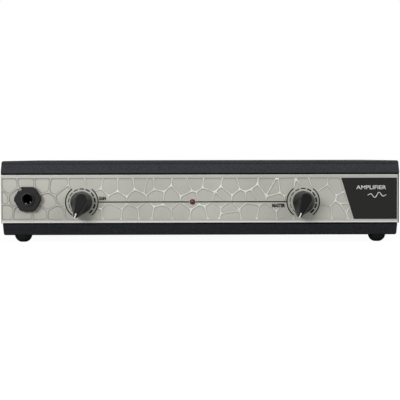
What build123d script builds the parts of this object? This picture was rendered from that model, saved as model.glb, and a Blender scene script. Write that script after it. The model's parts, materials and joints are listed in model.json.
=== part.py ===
from build123d import *

import math
import os

# A slim guitar amp head: a switch-mode power supply and a class-D amplifier in a folded steel case,
# behind a thick aluminium front panel with an input jack, two pointer knobs and a pilot light.
# Frame: X runs to the right as the player sees the front, Y from front to rear and Z up.
# The origin is on the floor, under the middle of the whole head.

# ---------------------------------------------------------------- driving dimensions, in millimetres

# Case
case_width = 279.8  # across the cover's side walls
case_depth = 200.0  # front panel's face to rear panel's outer face
case_height = 52.4  # underside of the base to the top of the cover
sheet = 1.2  # steel that the base and the cover are folded from
nest_gap = 0.1  # play between the cover's side walls and the base's
fold_radius = 1.4  # outside radius of the folds
edge_break = 0.4  # rounding of cut sheet edges that show

# Front edge of the case: two lips that lean back, with the panel between them
lip_setback = 1.5  # the lips' front edges stand this far behind the panel's face
lip_lean = 5.0  # how far each lip leans back over its height
lower_lip_height = 8.2
upper_lip_height = 8.7
lip_return = 7.0  # width of the upper lip's folded-in flange
seam_drop = 2.1  # a fine groove across the upper lip, this far below the top
seam_width = 0.6
seam_depth = 0.4

# Front panel
panel_thickness = 3.0
panel_left_gap = 0.2  # the panel is pushed to the left end of the case
panel_right_gap = 1.0
panel_lower_gap = 0.7  # shadow gaps to the lips
panel_upper_gap = 1.1
panel_bevel = 0.4
border = 2.35  # plain border above and below the sunk fields
end_border = 0.8  # the same at the panel's two ends
rib = 0.9  # slanted rib between the two fields
field_depth = 0.5  # how far the patterned field is sunk
badge_pocket_depth = 0.8
badge_thickness = 0.6
badge_top_width = 39.2
badge_bottom_width = 30.3
badge_gap = 0.08

# Controls
jack_inset = 19.2  # input jack's axis from the panel's left end
jack_to_gain = 37.6
master_to_badge = 26.5  # master knob's axis from the badge's upper left corner
knob_drop = 2.2  # the knobs' axes sit this far below the jack's

# Knobs
knob_gap = 0.8  # between the panel and a knob
knob_height = 14.5
knob_radius = 7.6
knob_skirt = 5.0  # height of the round skirt, under the grip
pointer_reach = 11.3  # from the axis to the pointer's tip
pointer_half_width = 1.7  # at the tip
grip_back_radius = 3.9  # round back end of the grip's top
grip_tip_radius = 1.5  # and its front end
grip_back_drop = 2.6  # the back end's centre, behind the axis
pointer_start = 160.0  # anticlockwise from straight up, with the knob turned fully down
index_width = 0.9
index_length = 3.6
index_depth = 0.4

# Potentiometers
shaft_radius = 3.0
shaft_play = 0.05  # running clearance in the bushing
pot_radius = 8.25
pot_depth = 9.0
pot_thread_radius = 3.5
pot_nut_flats = 10.0
pot_nut_height = 2.0
pot_washer_radius = 5.9
pot_washer_height = 0.5

# Input jack
plug_bore_radius = 3.25
jack_thread_radius = 4.75
jack_nut_flats = 17.2
jack_nut_corner_radius = 9.4  # its corners are turned down to this
jack_nut_height = 3.5
jack_notch_angle = 128.0  # a notch in its rim, anticlockwise from the right
jack_notch_width = 2.2
jack_notch_depth = 1.7
jack_washer_radius = 7.6
jack_washer_height = 0.8
jack_rim = 1.0  # the bushing stands this far out of its nut
jack_box_width = 19.0
jack_box_depth = 23.0
jack_wall = 2.5

# Pilot light
led_radius = 1.5
led_proud = 0.9  # how far its dome stands out of the panel
led_flange_radius = 1.9

# Feet
foot_radius = 6.2
foot_height = 5.0
foot_flat_radius = 2.2
foot_dome_radius = 5.4  # half way up its dome
foot_side_inset = 14.2  # from the cover's side wall
foot_end_inset = 14.0  # from the front and rear faces
foot_stem_radius = 2.4
foot_barb = 0.9  # how far the barb is wider than the stem
foot_barb_height = 2.4

# Machine screws, M3 throughout
screw_radius = 1.5
screw_play = 0.1
screw_head_radius = 2.8
screw_head_height = 1.8
nut_radius = 2.9
nut_height = 2.4

# Countersunk screws in the cover's side walls
side_screw_rise = 16.0  # above the underside of the base
front_screw_inset = 30.0  # from the panel's face
fan_to_screw = 15.0
drive_width = 0.7  # width of a cross recess's arms
side_drive_reach = 2.6
side_drive_depth = 0.9
rear_drive_reach = 3.0
rear_drive_depth = 1.0

# Rear panel
rear_thickness = 1.5
rear_play = 0.2  # between the rear panel and the case around it
rear_ear = 14.0  # length of its folded ears along the side walls

# Mains inlet, with a fuse drawer under the plug's recess
inlet_inset = 32.0  # its axis from the rear panel's end
inlet_flange_width = 50.0
inlet_flange_height = 31.0
inlet_flange_thickness = 2.6
inlet_body = 28.0
inlet_depth = 24.0
inlet_screw_pitch = 40.0
plug_width = 24.6
plug_height = 16.6
plug_depth = 17.0
plug_rise = 5.2  # the recess's centre above the inlet's
plug_corner = 4.0
blade_width = 2.0
blade_height = 4.0
blade_pitch = 7.0
drawer_width = 23.6
drawer_height = 7.4
drawer_depth = 15.0
drawer_drop = 9.0
drawer_play = 0.15
fuse_radius = 2.5
fuse_length = 20.0

# Power switch
switch_pitch = 38.0  # from the inlet's axis
switch_width = 15.5
switch_height = 22.4
switch_flange_thickness = 2.0
switch_body_depth = 16.0
rocker_width = 10.4
rocker_sweep = 9.4  # radius of its end faces about the pivot
rocker_play = 0.3
rocker_tilt = 12.7  # each way from the middle
trunnion_radius = 1.2
rocker_rise = 4.5  # how far its ends stand above the pivot
rocker_waist = 2.2  # the same at its middle
rocker_root = 1.5  # and its inner face, below the pivot

# Round sockets: the speaker's twist-lock one and the balanced one
socket_flange_width = 26.0
socket_flange_height = 31.0
socket_flange_thickness = 2.0
socket_screw_x = 9.5
socket_screw_z = 12.0
socket_barrel_radius = 12.0
socket_depth = 25.0
speaker_bore_radius = 10.8
speaker_post_radius = 5.8
speaker_bore_depth = 20.0
balanced_bore_radius = 9.6
balanced_bore_depth = 13.5
balanced_pin_radius = 1.25
balanced_pin_circle = 4.1
small_pitch = 16.0  # between the small sockets and the button, and to the panel's end
small_to_balanced = 24.0
balanced_to_speaker = 36.0

# Ground lift button and the two 3.5 mm jacks
button_radius = 3.0
button_reach = 6.0
button_travel = 2.5
button_play = 0.25
small_body = 9.0
small_body_depth = 12.0
mini_bore_radius = 1.8
mini_thread_radius = 3.0
mini_nut_flats = 8.0
mini_nut_height = 2.0
mini_rim = 0.5

# Fan, on the inside of the left side wall
fan_size = 35.0
fan_depth = 10.0
fan_bore_radius = 16.4
fan_hub_radius = 8.5
fan_tip_play = 0.8
fan_blades = 7
fan_mount_inset = 3.0  # its screw holes from its corners
fan_rise = 7.0  # above the floor
fan_plate = 1.6  # its motor plate, on the side away from the wall
fan_pin_radius = 1.0
fan_hole_play = 0.25  # round its screws

# Side vents
vent_slots = 7
vent_pitch = 5.0
vent_width = 2.4
vent_height = 26.0
rear_slots = 11

# Circuit boards
board_thickness = 1.6
preamp_board_rise = 9.8  # standoff heights above the base
power_board_rise = 6.0
standoff_radius = 3.0
board_margin = 5.0  # standoffs from a board's edges
front_zone = 46.0  # depth that the preamp board fills behind the panel
rear_zone = 44.0  # depth kept for the rear sockets and their wiring
board_gap = 6.0
headroom = 3.0  # between the tallest parts and the cover
wire_radius = 1.1

# Parts on the preamp board, in rows along the panel
chips = 5
chip_width = 10.0
chip_depth = 6.4
chip_height = 3.4
chip_pitch = 22.0
chip_row = 24.0  # the row's distance from the board's front edge
first_chip = 24.0  # from the gain knob's axis
signal_cans = 9
signal_can_radius = 3.2
signal_can_height = 11.0
signal_can_pitch = 21.0
signal_can_row = 37.0
first_signal_can = 24.0  # from the jack's axis
signal_films = 6
signal_film_width = 7.2
signal_film_depth = 3.5
signal_film_height = 8.0
signal_film_pitch = 23.0
signal_film_row = 8.0
first_signal_film = 14.0  # from the gain knob's axis

# Parts on the amplifier board
sink_width = 44.0
sink_depth = 62.0
sink_base = 5.0
sink_fins = 9
fin_thickness = 1.8
sink_inset = 12.0  # from the board's left edge
transistor_count = 4
transistor_thickness = 4.6
transistor_width = 10.0
transistor_height = 16.0
transistor_pitch = 14.0
transistor_legs = 3.0  # height of its legs
transistor_leg_pitch = 2.54
transistor_leg_width = 0.9
transistor_leg_thickness = 0.5
coil_hole_radius = 4.0
coil_width = 10.0
coil_height = 12.0
coil_pitch = 36.0
coil_inset = 22.0  # from the board's right edge
film_width = 8.5
film_depth = 17.0
film_height = 15.0
film_pitch = 20.0
film_to_transistor = 14.0

# Parts on the power board
reservoir_radius = 12.5
reservoir_pitch = 28.0
reservoir_inset = 22.0  # from the board's left edge
filter_can_radius = 9.0
filter_can_pitch = 24.0
filter_can_inset = 30.0  # from the board's right edge
filter_can_drop = 6.0  # how much shorter it is than the reservoirs
core_inset = 64.0  # from the board's left edge
core_depth = 42.0
core_width = 40.0
core_height = 28.0
core_window_width = 27.0
core_window_height = 15.0
core_rise = 16.0  # its middle above the board
coil_play = 0.1  # between the wound bobbin and the core's window
bobbin_overhang = 5.0  # beyond each end of the core
bobbin_foot_width = 38.0
bobbin_foot_depth = 4.6
bobbin_foot_height = 11.0
choke_hole_radius = 5.0
choke_width = 8.0
choke_height = 14.0
choke_inset = 24.0  # from the board's right and rear edges

# ---------------------------------------------------------------- places worked out from the dimensions

knob_reach = knob_gap + knob_height
tilt = math.radians(rocker_tilt)
rocker_end = math.sqrt(rocker_sweep**2 - rocker_rise**2)  # height of its outer edges over the pivot
rocker_reach = rocker_rise * math.cos(tilt) + rocker_end * math.sin(tilt)
rear_reach = max(button_reach, rocker_reach)
face_y = (knob_reach - case_depth - rear_reach) / 2  # front panel's face
back_y = face_y + case_depth  # rear panel's outer face
half_case = case_width / 2
half_base = half_case - sheet - nest_gap
half_inside = half_base - sheet

floor_z = foot_height + sheet  # top of the base's floor
top_z = foot_height + case_height
ceiling_z = top_z - sheet
lower_lip_z = foot_height + lower_lip_height
upper_lip_z = top_z - upper_lip_height
panel_bottom = lower_lip_z + panel_lower_gap
panel_top = upper_lip_z - panel_upper_gap
panel_middle = (panel_bottom + panel_top) / 2
panel_left = -half_case + panel_left_gap
panel_right = half_case - panel_right_gap

lip_y = face_y + lip_setback
lip_back_y = lip_y + lip_lean
wall_y = face_y + panel_thickness  # the base's front wall, behind the panel
wall_in_y = wall_y + sheet
base_wall_top = upper_lip_z - nest_gap
cover_bottom = lower_lip_z + panel_lower_gap / 2

jack_x = panel_left + jack_inset
jack_z = panel_middle
gain_x = jack_x + jack_to_gain
badge_right = panel_right - end_border
badge_corner = badge_right - badge_top_width
badge_foot = badge_right - badge_bottom_width
master_x = badge_corner - master_to_badge
knob_z = panel_middle - knob_drop
led_x = (gain_x + master_x) / 2
pot_xs = (gain_x, master_x)

rear_bottom = floor_z + rear_play
rear_top = ceiling_z - rear_play
rear_z = (rear_bottom + rear_top) / 2
half_rear = half_inside - rear_play
rear_in_y = back_y - rear_thickness
inlet_x = half_rear - inlet_inset
switch_x = inlet_x - switch_pitch
aux_x = -half_rear + small_pitch
phones_x = aux_x + small_pitch
lift_x = phones_x + small_pitch
balanced_x = lift_x + small_to_balanced
speaker_x = balanced_x + balanced_to_speaker
mini_xs = (aux_x, phones_x)
rear_vent_x = (speaker_x + socket_flange_width / 2 + switch_x - switch_width / 2) / 2
plug_z = rear_z + plug_rise
drawer_z = rear_z - drawer_drop

foot_x = half_case - foot_side_inset
foot_places = [
    (side * foot_x, y) for side in (-1, 1) for y in (face_y + foot_end_inset, back_y - foot_end_inset)
]

power_front_y = wall_in_y + 2 + front_zone + board_gap
power_back_y = back_y - rear_zone
fan_y = (power_front_y + power_back_y) / 2
fan_pitch = fan_size - 2 * fan_mount_inset
fan_z = floor_z + fan_rise + fan_size / 2

side_screw_z = foot_height + side_screw_rise
side_screw_ys = (face_y + front_screw_inset, fan_y + fan_size / 2 + fan_to_screw, back_y - rear_ear / 2)


def front_plane(x, z, out=0.0):
    """The panel's face at (x, z), facing the player, moved out by out."""
    return Plane(origin=(x, face_y - out, z), x_dir=(1, 0, 0), z_dir=(0, -1, 0))


def upright_plane(x, y, z):
    """An upright plane at (x, y, z) that faces the player."""
    return Plane(origin=(x, y, z), x_dir=(1, 0, 0), z_dir=(0, -1, 0))


def across_plane(x, y, z):
    """An upright plane at (x, y, z) that faces the right end of the case."""
    return Plane(origin=(x, y, z), x_dir=(0, 1, 0), z_dir=(1, 0, 0))


def rear_plane(x, z, out=0.0):
    """The rear panel's outer face at (x, z), facing backwards, moved out by out."""
    return Plane(origin=(x, back_y + out, z), x_dir=(-1, 0, 0), z_dir=(0, 1, 0))


def floor_plane(x, y, z):
    """A level plane at height z, centred on (x, y)."""
    return Plane(origin=(x, y, z))


def side_plane(side, y, z, x):
    """A plane at x on the right (side 1) or the left (side -1), facing away from the case."""
    return Plane(origin=(side * x, y, z), x_dir=(0, side, 0), z_dir=(side, 0, 0))


def write(piece, label):
    """Names a finished piece and writes it to its own file."""
    piece.part.label = label
    export_step(piece.part, f"parts/{label}.step")


os.makedirs("parts", exist_ok=True)

# ---------------------------------------------------------------- case

# The base is a tray: floor, lower lip, front wall and two side walls, open above and behind.
chin_run = lip_lean / lower_lip_height  # the lower lip's lean per unit of height
chin_wall = sheet * math.hypot(1, chin_run)  # its sloped sheet's thickness, measured along Y
with BuildPart() as chassis_base:
    with BuildSketch(Plane.YZ) as outside:
        with BuildLine():
            Polyline(
                (back_y, foot_height),
                (lip_back_y, foot_height),
                (lip_y, lower_lip_z),
                (wall_y, lower_lip_z),
                (wall_y, base_wall_top),
                (back_y, base_wall_top),
                close=True,
            )
        make_face()
        fillet(outside.vertices().group_by(Axis.X)[0], radius=edge_break)
    extrude(amount=half_base, both=True)
    low_edges = chassis_base.faces().filter_by(Axis.Z).sort_by(Axis.Z)[0].edges()
    low_edges -= low_edges.filter_by(Axis.X).sort_by(Axis.Y)[-1:]
    fillet(low_edges, radius=fold_radius)
    with BuildSketch(Plane.YZ):
        with BuildLine():
            Polyline(
                (back_y + case_depth, floor_z),
                (lip_back_y - sheet * chin_run + chin_wall, floor_z),
                (lip_y + sheet * chin_run + chin_wall, lower_lip_z - sheet),
                (wall_in_y, lower_lip_z - sheet),
                (wall_in_y, top_z),
                (back_y + case_depth, top_z),
                close=True,
            )
        make_face()
    extrude(amount=half_inside, both=True, mode=Mode.SUBTRACT)
    # holes in the front wall for the controls
    with BuildSketch(front_plane(jack_x, jack_z)):
        Circle(jack_thread_radius + screw_play)
    extrude(amount=-(panel_thickness + 2 * sheet), mode=Mode.SUBTRACT)
    for x in pot_xs:
        with BuildSketch(front_plane(x, knob_z)):
            Circle(pot_thread_radius + screw_play)
        extrude(amount=-(panel_thickness + 2 * sheet), mode=Mode.SUBTRACT)
    with BuildSketch(front_plane(led_x, knob_z)):
        Circle(led_radius + screw_play)
    extrude(amount=-(panel_thickness + 2 * sheet), mode=Mode.SUBTRACT)
    # holes for the feet
    for x, y in foot_places:
        with BuildSketch(floor_plane(x, y, foot_height)):
            Circle(foot_stem_radius + screw_play)
        extrude(amount=sheet, mode=Mode.SUBTRACT)
    for side in (-1, 1):
        # a window behind the cover's vent slots
        with BuildSketch(side_plane(side, fan_y, fan_z, half_inside - sheet)):
            Circle(fan_bore_radius)
            if side < 0:
                with GridLocations(fan_pitch, fan_pitch, 2, 2):
                    Circle(screw_radius + screw_play)
        extrude(amount=3 * sheet, mode=Mode.SUBTRACT)
        for y in side_screw_ys:
            with BuildSketch(side_plane(side, y, side_screw_z, half_inside - sheet)):
                Circle(screw_radius + screw_play)
            extrude(amount=3 * sheet, mode=Mode.SUBTRACT)
write(chassis_base, "chassis_base")

# The cover is folded over the base: top, upper lip with its folded-in flange, and two side walls.
lip_run = lip_lean / upper_lip_height  # lean per unit of height
lip_wall = sheet * math.hypot(1, lip_run)  # the sloped sheet's thickness, measured along Y
with BuildPart() as top_cover:
    with BuildSketch(Plane.YZ):
        with BuildLine():
            Polyline(
                (wall_y, cover_bottom),
                (wall_y, upper_lip_z),
                (lip_y, upper_lip_z),
                (lip_back_y, top_z),
                (back_y, top_z),
                (back_y, cover_bottom),
                close=True,
            )
        make_face()
    extrude(amount=half_case, both=True)
    outer_folds = top_cover.faces().filter_by(Axis.Z).sort_by(Axis.Z)[-1].edges()
    outer_folds -= outer_folds.filter_by(Axis.X).sort_by(Axis.Y)[-1:]
    fillet(outer_folds, radius=fold_radius)
    with BuildSketch(Plane.YZ):
        with BuildLine():
            Polyline(
                (lip_y - case_depth, 0),
                (lip_y - case_depth, upper_lip_z),
                (lip_y + lip_return, upper_lip_z),
                (lip_y + lip_return, upper_lip_z + sheet),
                (lip_y + sheet * lip_run + lip_wall, upper_lip_z + sheet),
                (lip_back_y - sheet * lip_run + lip_wall, ceiling_z),
                (back_y + case_depth, ceiling_z),
                (back_y + case_depth, 0),
                close=True,
            )
        make_face()
    extrude(amount=half_case - sheet, both=True, mode=Mode.SUBTRACT)
    seam_y = lip_back_y - seam_drop * lip_run
    with BuildSketch(Plane.YZ):
        with Locations((seam_y, top_z - seam_drop)):
            Rectangle(2 * seam_depth, seam_width)
    extrude(amount=half_case, both=True, mode=Mode.SUBTRACT)
    for side in (-1, 1):
        with BuildSketch(side_plane(side, fan_y, fan_z, half_inside)):
            with GridLocations(vent_pitch, 0, vent_slots, 1):
                SlotOverall(vent_height, vent_width, rotation=90)
        extrude(amount=4 * sheet, mode=Mode.SUBTRACT)
        for y in side_screw_ys:
            with BuildSketch(side_plane(side, y, side_screw_z, half_case)):
                Circle(screw_radius + sheet + screw_play)
            extrude(amount=-sheet, taper=45, mode=Mode.SUBTRACT)
write(top_cover, "top_cover")

# Front panel: thick aluminium with a sunk field on the left and a sunk pocket for the badge.
field_top = panel_top - border
field_bottom = panel_bottom + border
field_left = panel_left + end_border
field_corner = badge_corner - rib
field_foot = badge_foot - rib
with BuildPart() as front_panel:
    with BuildSketch(front_plane(0, 0, -panel_thickness)):
        with BuildLine():
            Polyline(
                (panel_left, panel_bottom),
                (panel_right, panel_bottom),
                (panel_right, panel_top),
                (panel_left, panel_top),
                close=True,
            )
        make_face()
    extrude(amount=panel_thickness)
    chamfer(front_panel.faces().sort_by(Axis.Y)[0].edges(), length=panel_bevel)
    with BuildSketch(front_plane(0, 0)):
        with BuildLine():
            Polyline(
                (field_left, field_bottom),
                (field_foot, field_bottom),
                (field_corner, field_top),
                (field_left, field_top),
                close=True,
            )
        make_face()
    extrude(amount=-field_depth, mode=Mode.SUBTRACT)
    with BuildSketch(front_plane(0, 0)):
        with BuildLine():
            Polyline(
                (badge_foot, field_bottom),
                (badge_right, field_bottom),
                (badge_right, field_top),
                (badge_corner, field_top),
                close=True,
            )
        make_face()
    extrude(amount=-badge_pocket_depth, mode=Mode.SUBTRACT)
    with BuildSketch(front_plane(jack_x, jack_z)):
        Circle(jack_thread_radius + screw_play)
    extrude(amount=-panel_thickness, mode=Mode.SUBTRACT)
    for x in pot_xs:
        with BuildSketch(front_plane(x, knob_z)):
            Circle(pot_thread_radius + screw_play)
        extrude(amount=-panel_thickness, mode=Mode.SUBTRACT)
    with BuildSketch(front_plane(led_x, knob_z)):
        Circle(led_radius + screw_play)
    extrude(amount=-panel_thickness, mode=Mode.SUBTRACT)
write(front_panel, "front_panel")

# The badge is a black anodised plate that lies in its pocket.
with BuildPart() as badge_plate:
    with BuildSketch(front_plane(0, 0, -badge_pocket_depth)):
        with BuildLine():
            Polyline(
                (badge_foot, field_bottom),
                (badge_right, field_bottom),
                (badge_right, field_top),
                (badge_corner, field_top),
                close=True,
            )
        make_face()
        offset(amount=-badge_gap)
    extrude(amount=badge_thickness)
write(badge_plate, "badge_plate")

# Rear panel: a plate with a folded ear at each end, and cut-outs for everything that it carries.
with BuildPart() as rear_panel:
    with BuildSketch(Plane.XY.offset(rear_bottom)):
        with BuildLine():
            Polyline(
                (-half_rear, rear_in_y - rear_ear),
                (-half_rear + rear_thickness, rear_in_y - rear_ear),
                (-half_rear + rear_thickness, rear_in_y),
                (half_rear - rear_thickness, rear_in_y),
                (half_rear - rear_thickness, rear_in_y - rear_ear),
                (half_rear, rear_in_y - rear_ear),
                (half_rear, back_y),
                (-half_rear, back_y),
                close=True,
            )
        make_face()
    extrude(amount=rear_top - rear_bottom)
    outer_corners = rear_panel.edges().filter_by(Axis.Z).group_by(Axis.Y)[-1]
    fillet(outer_corners, radius=rear_thickness * 0.8)
    with BuildSketch(rear_plane(inlet_x, rear_z)):
        Rectangle(inlet_body + rear_play, inlet_body + rear_play)
        with GridLocations(inlet_screw_pitch, 0, 2, 1):
            Circle(screw_radius + screw_play)
    extrude(amount=-2 * rear_thickness, mode=Mode.SUBTRACT)
    with BuildSketch(rear_plane(switch_x, rear_z)):
        Rectangle(switch_width - 2 + rear_play, switch_height - 2 + rear_play)
    extrude(amount=-2 * rear_thickness, mode=Mode.SUBTRACT)
    for x in (speaker_x, balanced_x):
        with BuildSketch(rear_plane(x, rear_z)):
            Circle(socket_barrel_radius + rear_play / 2)
            with Locations((socket_screw_x, socket_screw_z), (-socket_screw_x, -socket_screw_z)):
                Circle(screw_radius + screw_play)
        extrude(amount=-2 * rear_thickness, mode=Mode.SUBTRACT)
    with BuildSketch(rear_plane(lift_x, rear_z)):
        Circle(button_radius + button_play)
    extrude(amount=-2 * rear_thickness, mode=Mode.SUBTRACT)
    for x in mini_xs:
        with BuildSketch(rear_plane(x, rear_z)):
            Circle(mini_thread_radius + screw_play)
        extrude(amount=-2 * rear_thickness, mode=Mode.SUBTRACT)
    with BuildSketch(rear_plane(rear_vent_x, rear_z)):
        with GridLocations(vent_pitch, 0, rear_slots, 1):
            SlotOverall(vent_height, vent_width, rotation=90)
    extrude(amount=-2 * rear_thickness, mode=Mode.SUBTRACT)
    for side in (-1, 1):
        with BuildSketch(side_plane(side, side_screw_ys[-1], side_screw_z, half_rear)):
            Circle(screw_radius + screw_play)
        extrude(amount=-2 * rear_thickness, mode=Mode.SUBTRACT)
write(rear_panel, "rear_panel")

# Feet: moulded rubber domes with a stem and a barb that snap through the base.
with BuildPart() as rubber_feet:
    for x, y in foot_places:
        with BuildSketch(upright_plane(x, y, 0)):
            with BuildLine():
                Line((0, 0), (foot_flat_radius, 0))
                ThreePointArc(
                    (foot_flat_radius, 0),
                    (foot_dome_radius, foot_height / 2),
                    (foot_radius, foot_height),
                )
                Polyline(
                    (foot_radius, foot_height),
                    (foot_stem_radius, foot_height),
                    (foot_stem_radius, floor_z),
                    (foot_stem_radius + foot_barb, floor_z),
                    (foot_stem_radius - foot_barb / 2, floor_z + foot_barb_height),
                    (0, floor_z + foot_barb_height),
                    (0, 0),
                )
            make_face()
        revolve(axis=Axis((x, y, 0), (0, 0, 1)))
write(rubber_feet, "rubber_feet")


def side_screw(side, y):
    """A countersunk screw through the cover's and the base's side walls."""
    seat_depth = rear_play + rear_thickness if y == side_screw_ys[-1] else 0
    with BuildPart() as screw:
        with BuildSketch(side_plane(side, y, side_screw_z, half_case)):
            Circle(screw_radius + sheet)
        extrude(amount=-sheet, taper=45)
        with BuildSketch(side_plane(side, y, side_screw_z, half_case)):
            Circle(screw_radius)
        extrude(amount=-(2 * sheet + nest_gap + seat_depth + nut_height))
        with BuildSketch(side_plane(side, y, side_screw_z, half_case)):
            Rectangle(side_drive_reach, drive_width)
            Rectangle(drive_width, side_drive_reach)
        extrude(amount=-side_drive_depth, mode=Mode.SUBTRACT)
    return screw


side_screws = [side_screw(side, y) for side in (-1, 1) for y in side_screw_ys]
with BuildPart() as case_screws:
    add([screw.part for screw in side_screws])
write(case_screws, "case_screws")

# Clinch nuts on the inside of the base's walls, and on the rear panel's ears.
with BuildPart() as clinch_nuts:
    for side in (-1, 1):
        for y in side_screw_ys:
            seat = half_rear - rear_thickness if y == side_screw_ys[-1] else half_inside
            with BuildSketch(side_plane(side, y, side_screw_z, seat)):
                RegularPolygon(nut_radius, 6)
                Circle(screw_radius + screw_play / 2, mode=Mode.SUBTRACT)
            extrude(amount=-nut_height)
write(clinch_nuts, "clinch_nuts")

# ---------------------------------------------------------------- front controls

preamp_z = floor_z + preamp_board_rise + board_thickness  # top of the preamp board
field_y = face_y + field_depth  # bottom of the panel's sunk field


def knob_plane(x, out=0.0):
    """The panel's face at a knob, turned so that local Y runs along the pointer at its start."""
    turn = math.radians(pointer_start)
    along = (math.cos(turn), 0, math.sin(turn))
    return Plane(origin=(x, face_y - out, knob_z), x_dir=along, z_dir=(0, -1, 0))


# The jack's body stands on the preamp board, and its bushing comes out through wall and panel.
with BuildPart() as input_jack_body:
    with BuildSketch(front_plane(jack_x, jack_z, face_y - wall_in_y)):
        half_box = jack_box_width / 2
        with BuildLine():
            Polyline(
                (-half_box, preamp_z - jack_z),
                (half_box, preamp_z - jack_z),
                (half_box, half_box),
                (-half_box, half_box),
                close=True,
            )
        make_face()
    extrude(amount=-jack_box_depth)
    fillet(input_jack_body.edges().filter_by(Axis.Y).group_by(Axis.Z)[-1], radius=1.5)
    with BuildSketch(front_plane(jack_x, jack_z, face_y - wall_in_y)):
        Circle(jack_thread_radius)
    jack_end = face_y - field_y + jack_washer_height + jack_nut_height + jack_rim
    extrude(amount=wall_in_y - face_y + jack_end)
    with BuildSketch(front_plane(jack_x, jack_z, jack_end)):
        Circle(plug_bore_radius)
    plug_bore_length = jack_end + wall_in_y - face_y + jack_box_depth - jack_wall
    extrude(amount=-plug_bore_length, mode=Mode.SUBTRACT)
    mouth = input_jack_body.edges().filter_by(GeomType.CIRCLE).group_by(Axis.Y)[0].sort_by(SortBy.RADIUS)[0]
    chamfer(mouth, length=0.8)
write(input_jack_body, "input_jack_body")

with BuildPart() as input_jack_washer:
    with BuildSketch(front_plane(jack_x, jack_z, face_y - field_y)):
        Circle(jack_washer_radius)
        Circle(jack_thread_radius + screw_play, mode=Mode.SUBTRACT)
    extrude(amount=jack_washer_height)
write(input_jack_washer, "input_jack_washer")

with BuildPart() as input_jack_nut:
    with BuildSketch(front_plane(jack_x, jack_z, face_y - field_y + jack_washer_height)):
        Circle(jack_nut_corner_radius)
        RegularPolygon(jack_nut_flats / 2, 6, major_radius=False, mode=Mode.INTERSECT)
    extrude(amount=jack_nut_height)
    nut_rim = input_jack_nut.faces().sort_by(Axis.Y)[0].edges()
    chamfer(nut_rim, length=0.6)
    with BuildSketch(front_plane(jack_x, jack_z, face_y - field_y + jack_washer_height)):
        Circle(jack_thread_radius + screw_play / 2)
        with PolarLocations(jack_nut_corner_radius, 1, start_angle=jack_notch_angle):
            Rectangle(2 * jack_notch_depth, jack_notch_width)
    extrude(amount=jack_nut_height, mode=Mode.SUBTRACT)
write(input_jack_nut, "input_jack_nut")

# Contact legs down the jack's two sides, soldered to the preamp board.
leg_thickness = 0.6
with BuildPart() as input_jack_contacts:
    for step in range(3):
        leg_y = wall_in_y + jack_wall + 3 + step * 7.0
        for side in (-1, 1):
            with BuildSketch(Plane.XY.offset(preamp_z)):
                with Locations((jack_x + side * (jack_box_width + leg_thickness) / 2, leg_y)):
                    Rectangle(leg_thickness, 1.6)
            extrude(amount=jack_z - preamp_z - 2)
write(input_jack_contacts, "input_jack_contacts")

# Potentiometers: a round can behind the wall and a threaded bushing through wall and panel.
bushing_end = face_y - field_y + pot_washer_height + pot_nut_height + 0.5
with BuildPart() as potentiometers:
    for x in pot_xs:
        with BuildSketch(front_plane(x, knob_z, face_y - wall_in_y)):
            Circle(pot_radius)
        extrude(amount=-pot_depth)
        with BuildSketch(front_plane(x, knob_z, face_y - wall_in_y)):
            Circle(pot_thread_radius)
        extrude(amount=wall_in_y - face_y + bushing_end)
        with BuildSketch(front_plane(x, knob_z, bushing_end)):
            Circle(shaft_radius + shaft_play)
        extrude(amount=-(bushing_end + wall_in_y - face_y + pot_depth - 2), mode=Mode.SUBTRACT)
write(potentiometers, "potentiometers")

with BuildPart() as pot_pins:
    for x in pot_xs:
        with BuildSketch(Plane.XY.offset(preamp_z)):
            with Locations((x, wall_in_y + pot_depth + leg_thickness / 2)):
                with GridLocations(5, 0, 3, 1):
                    Rectangle(1.2, leg_thickness)
        extrude(amount=knob_z - preamp_z - 3)
write(pot_pins, "pot_pins")

with BuildPart() as pot_washers:
    for x in pot_xs:
        with BuildSketch(front_plane(x, knob_z, face_y - field_y)):
            Circle(pot_washer_radius)
            Circle(pot_thread_radius + screw_play, mode=Mode.SUBTRACT)
        extrude(amount=pot_washer_height)
write(pot_washers, "pot_washers")

with BuildPart() as pot_nuts:
    for x in pot_xs:
        with BuildSketch(front_plane(x, knob_z, face_y - field_y + pot_washer_height)):
            RegularPolygon(pot_nut_flats / 2, 6, major_radius=False)
            Circle(pot_thread_radius + screw_play / 2, mode=Mode.SUBTRACT)
        extrude(amount=pot_nut_height)
write(pot_nuts, "pot_nuts")


def make_knob(x):
    """A pointer knob: a drop-shaped skirt, a wedge-shaped grip, a hollow for the nut and a bore."""
    tip = pointer_half_width
    with BuildPart() as knob:
        with BuildSketch(knob_plane(x, knob_gap)) as skirt:
            Circle(knob_radius)
            with Locations((0, pointer_reach - tip)):
                Circle(tip)
            make_hull()
        extrude(amount=knob_skirt)
        with BuildSketch(knob_plane(x, knob_gap + knob_skirt)):
            add(skirt.sketch_local)
        with BuildSketch(knob_plane(x, knob_gap + knob_height)):
            with Locations((0, -grip_back_drop)):
                Circle(grip_back_radius)
            with Locations((0, pointer_reach - tip)):
                Circle(grip_tip_radius)
            make_hull()
        loft()
        fillet(knob.faces().sort_by(Axis.Y)[0].edges(), radius=0.6)
        with BuildSketch(knob_plane(x, knob_gap)):
            Circle(pot_nut_flats / 2 + 1.2)
        extrude(amount=pot_nut_height + 0.4, mode=Mode.SUBTRACT)
        with BuildSketch(knob_plane(x, knob_gap)):
            Circle(shaft_radius + 0.02)
        extrude(amount=knob_height - 2.5, mode=Mode.SUBTRACT)
        with BuildSketch(knob_plane(x, knob_gap + knob_height)):
            with Locations((0, pointer_reach - index_length / 2)):
                Rectangle(index_width, index_length)
        extrude(amount=-index_depth, mode=Mode.SUBTRACT)
    return knob


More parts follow.
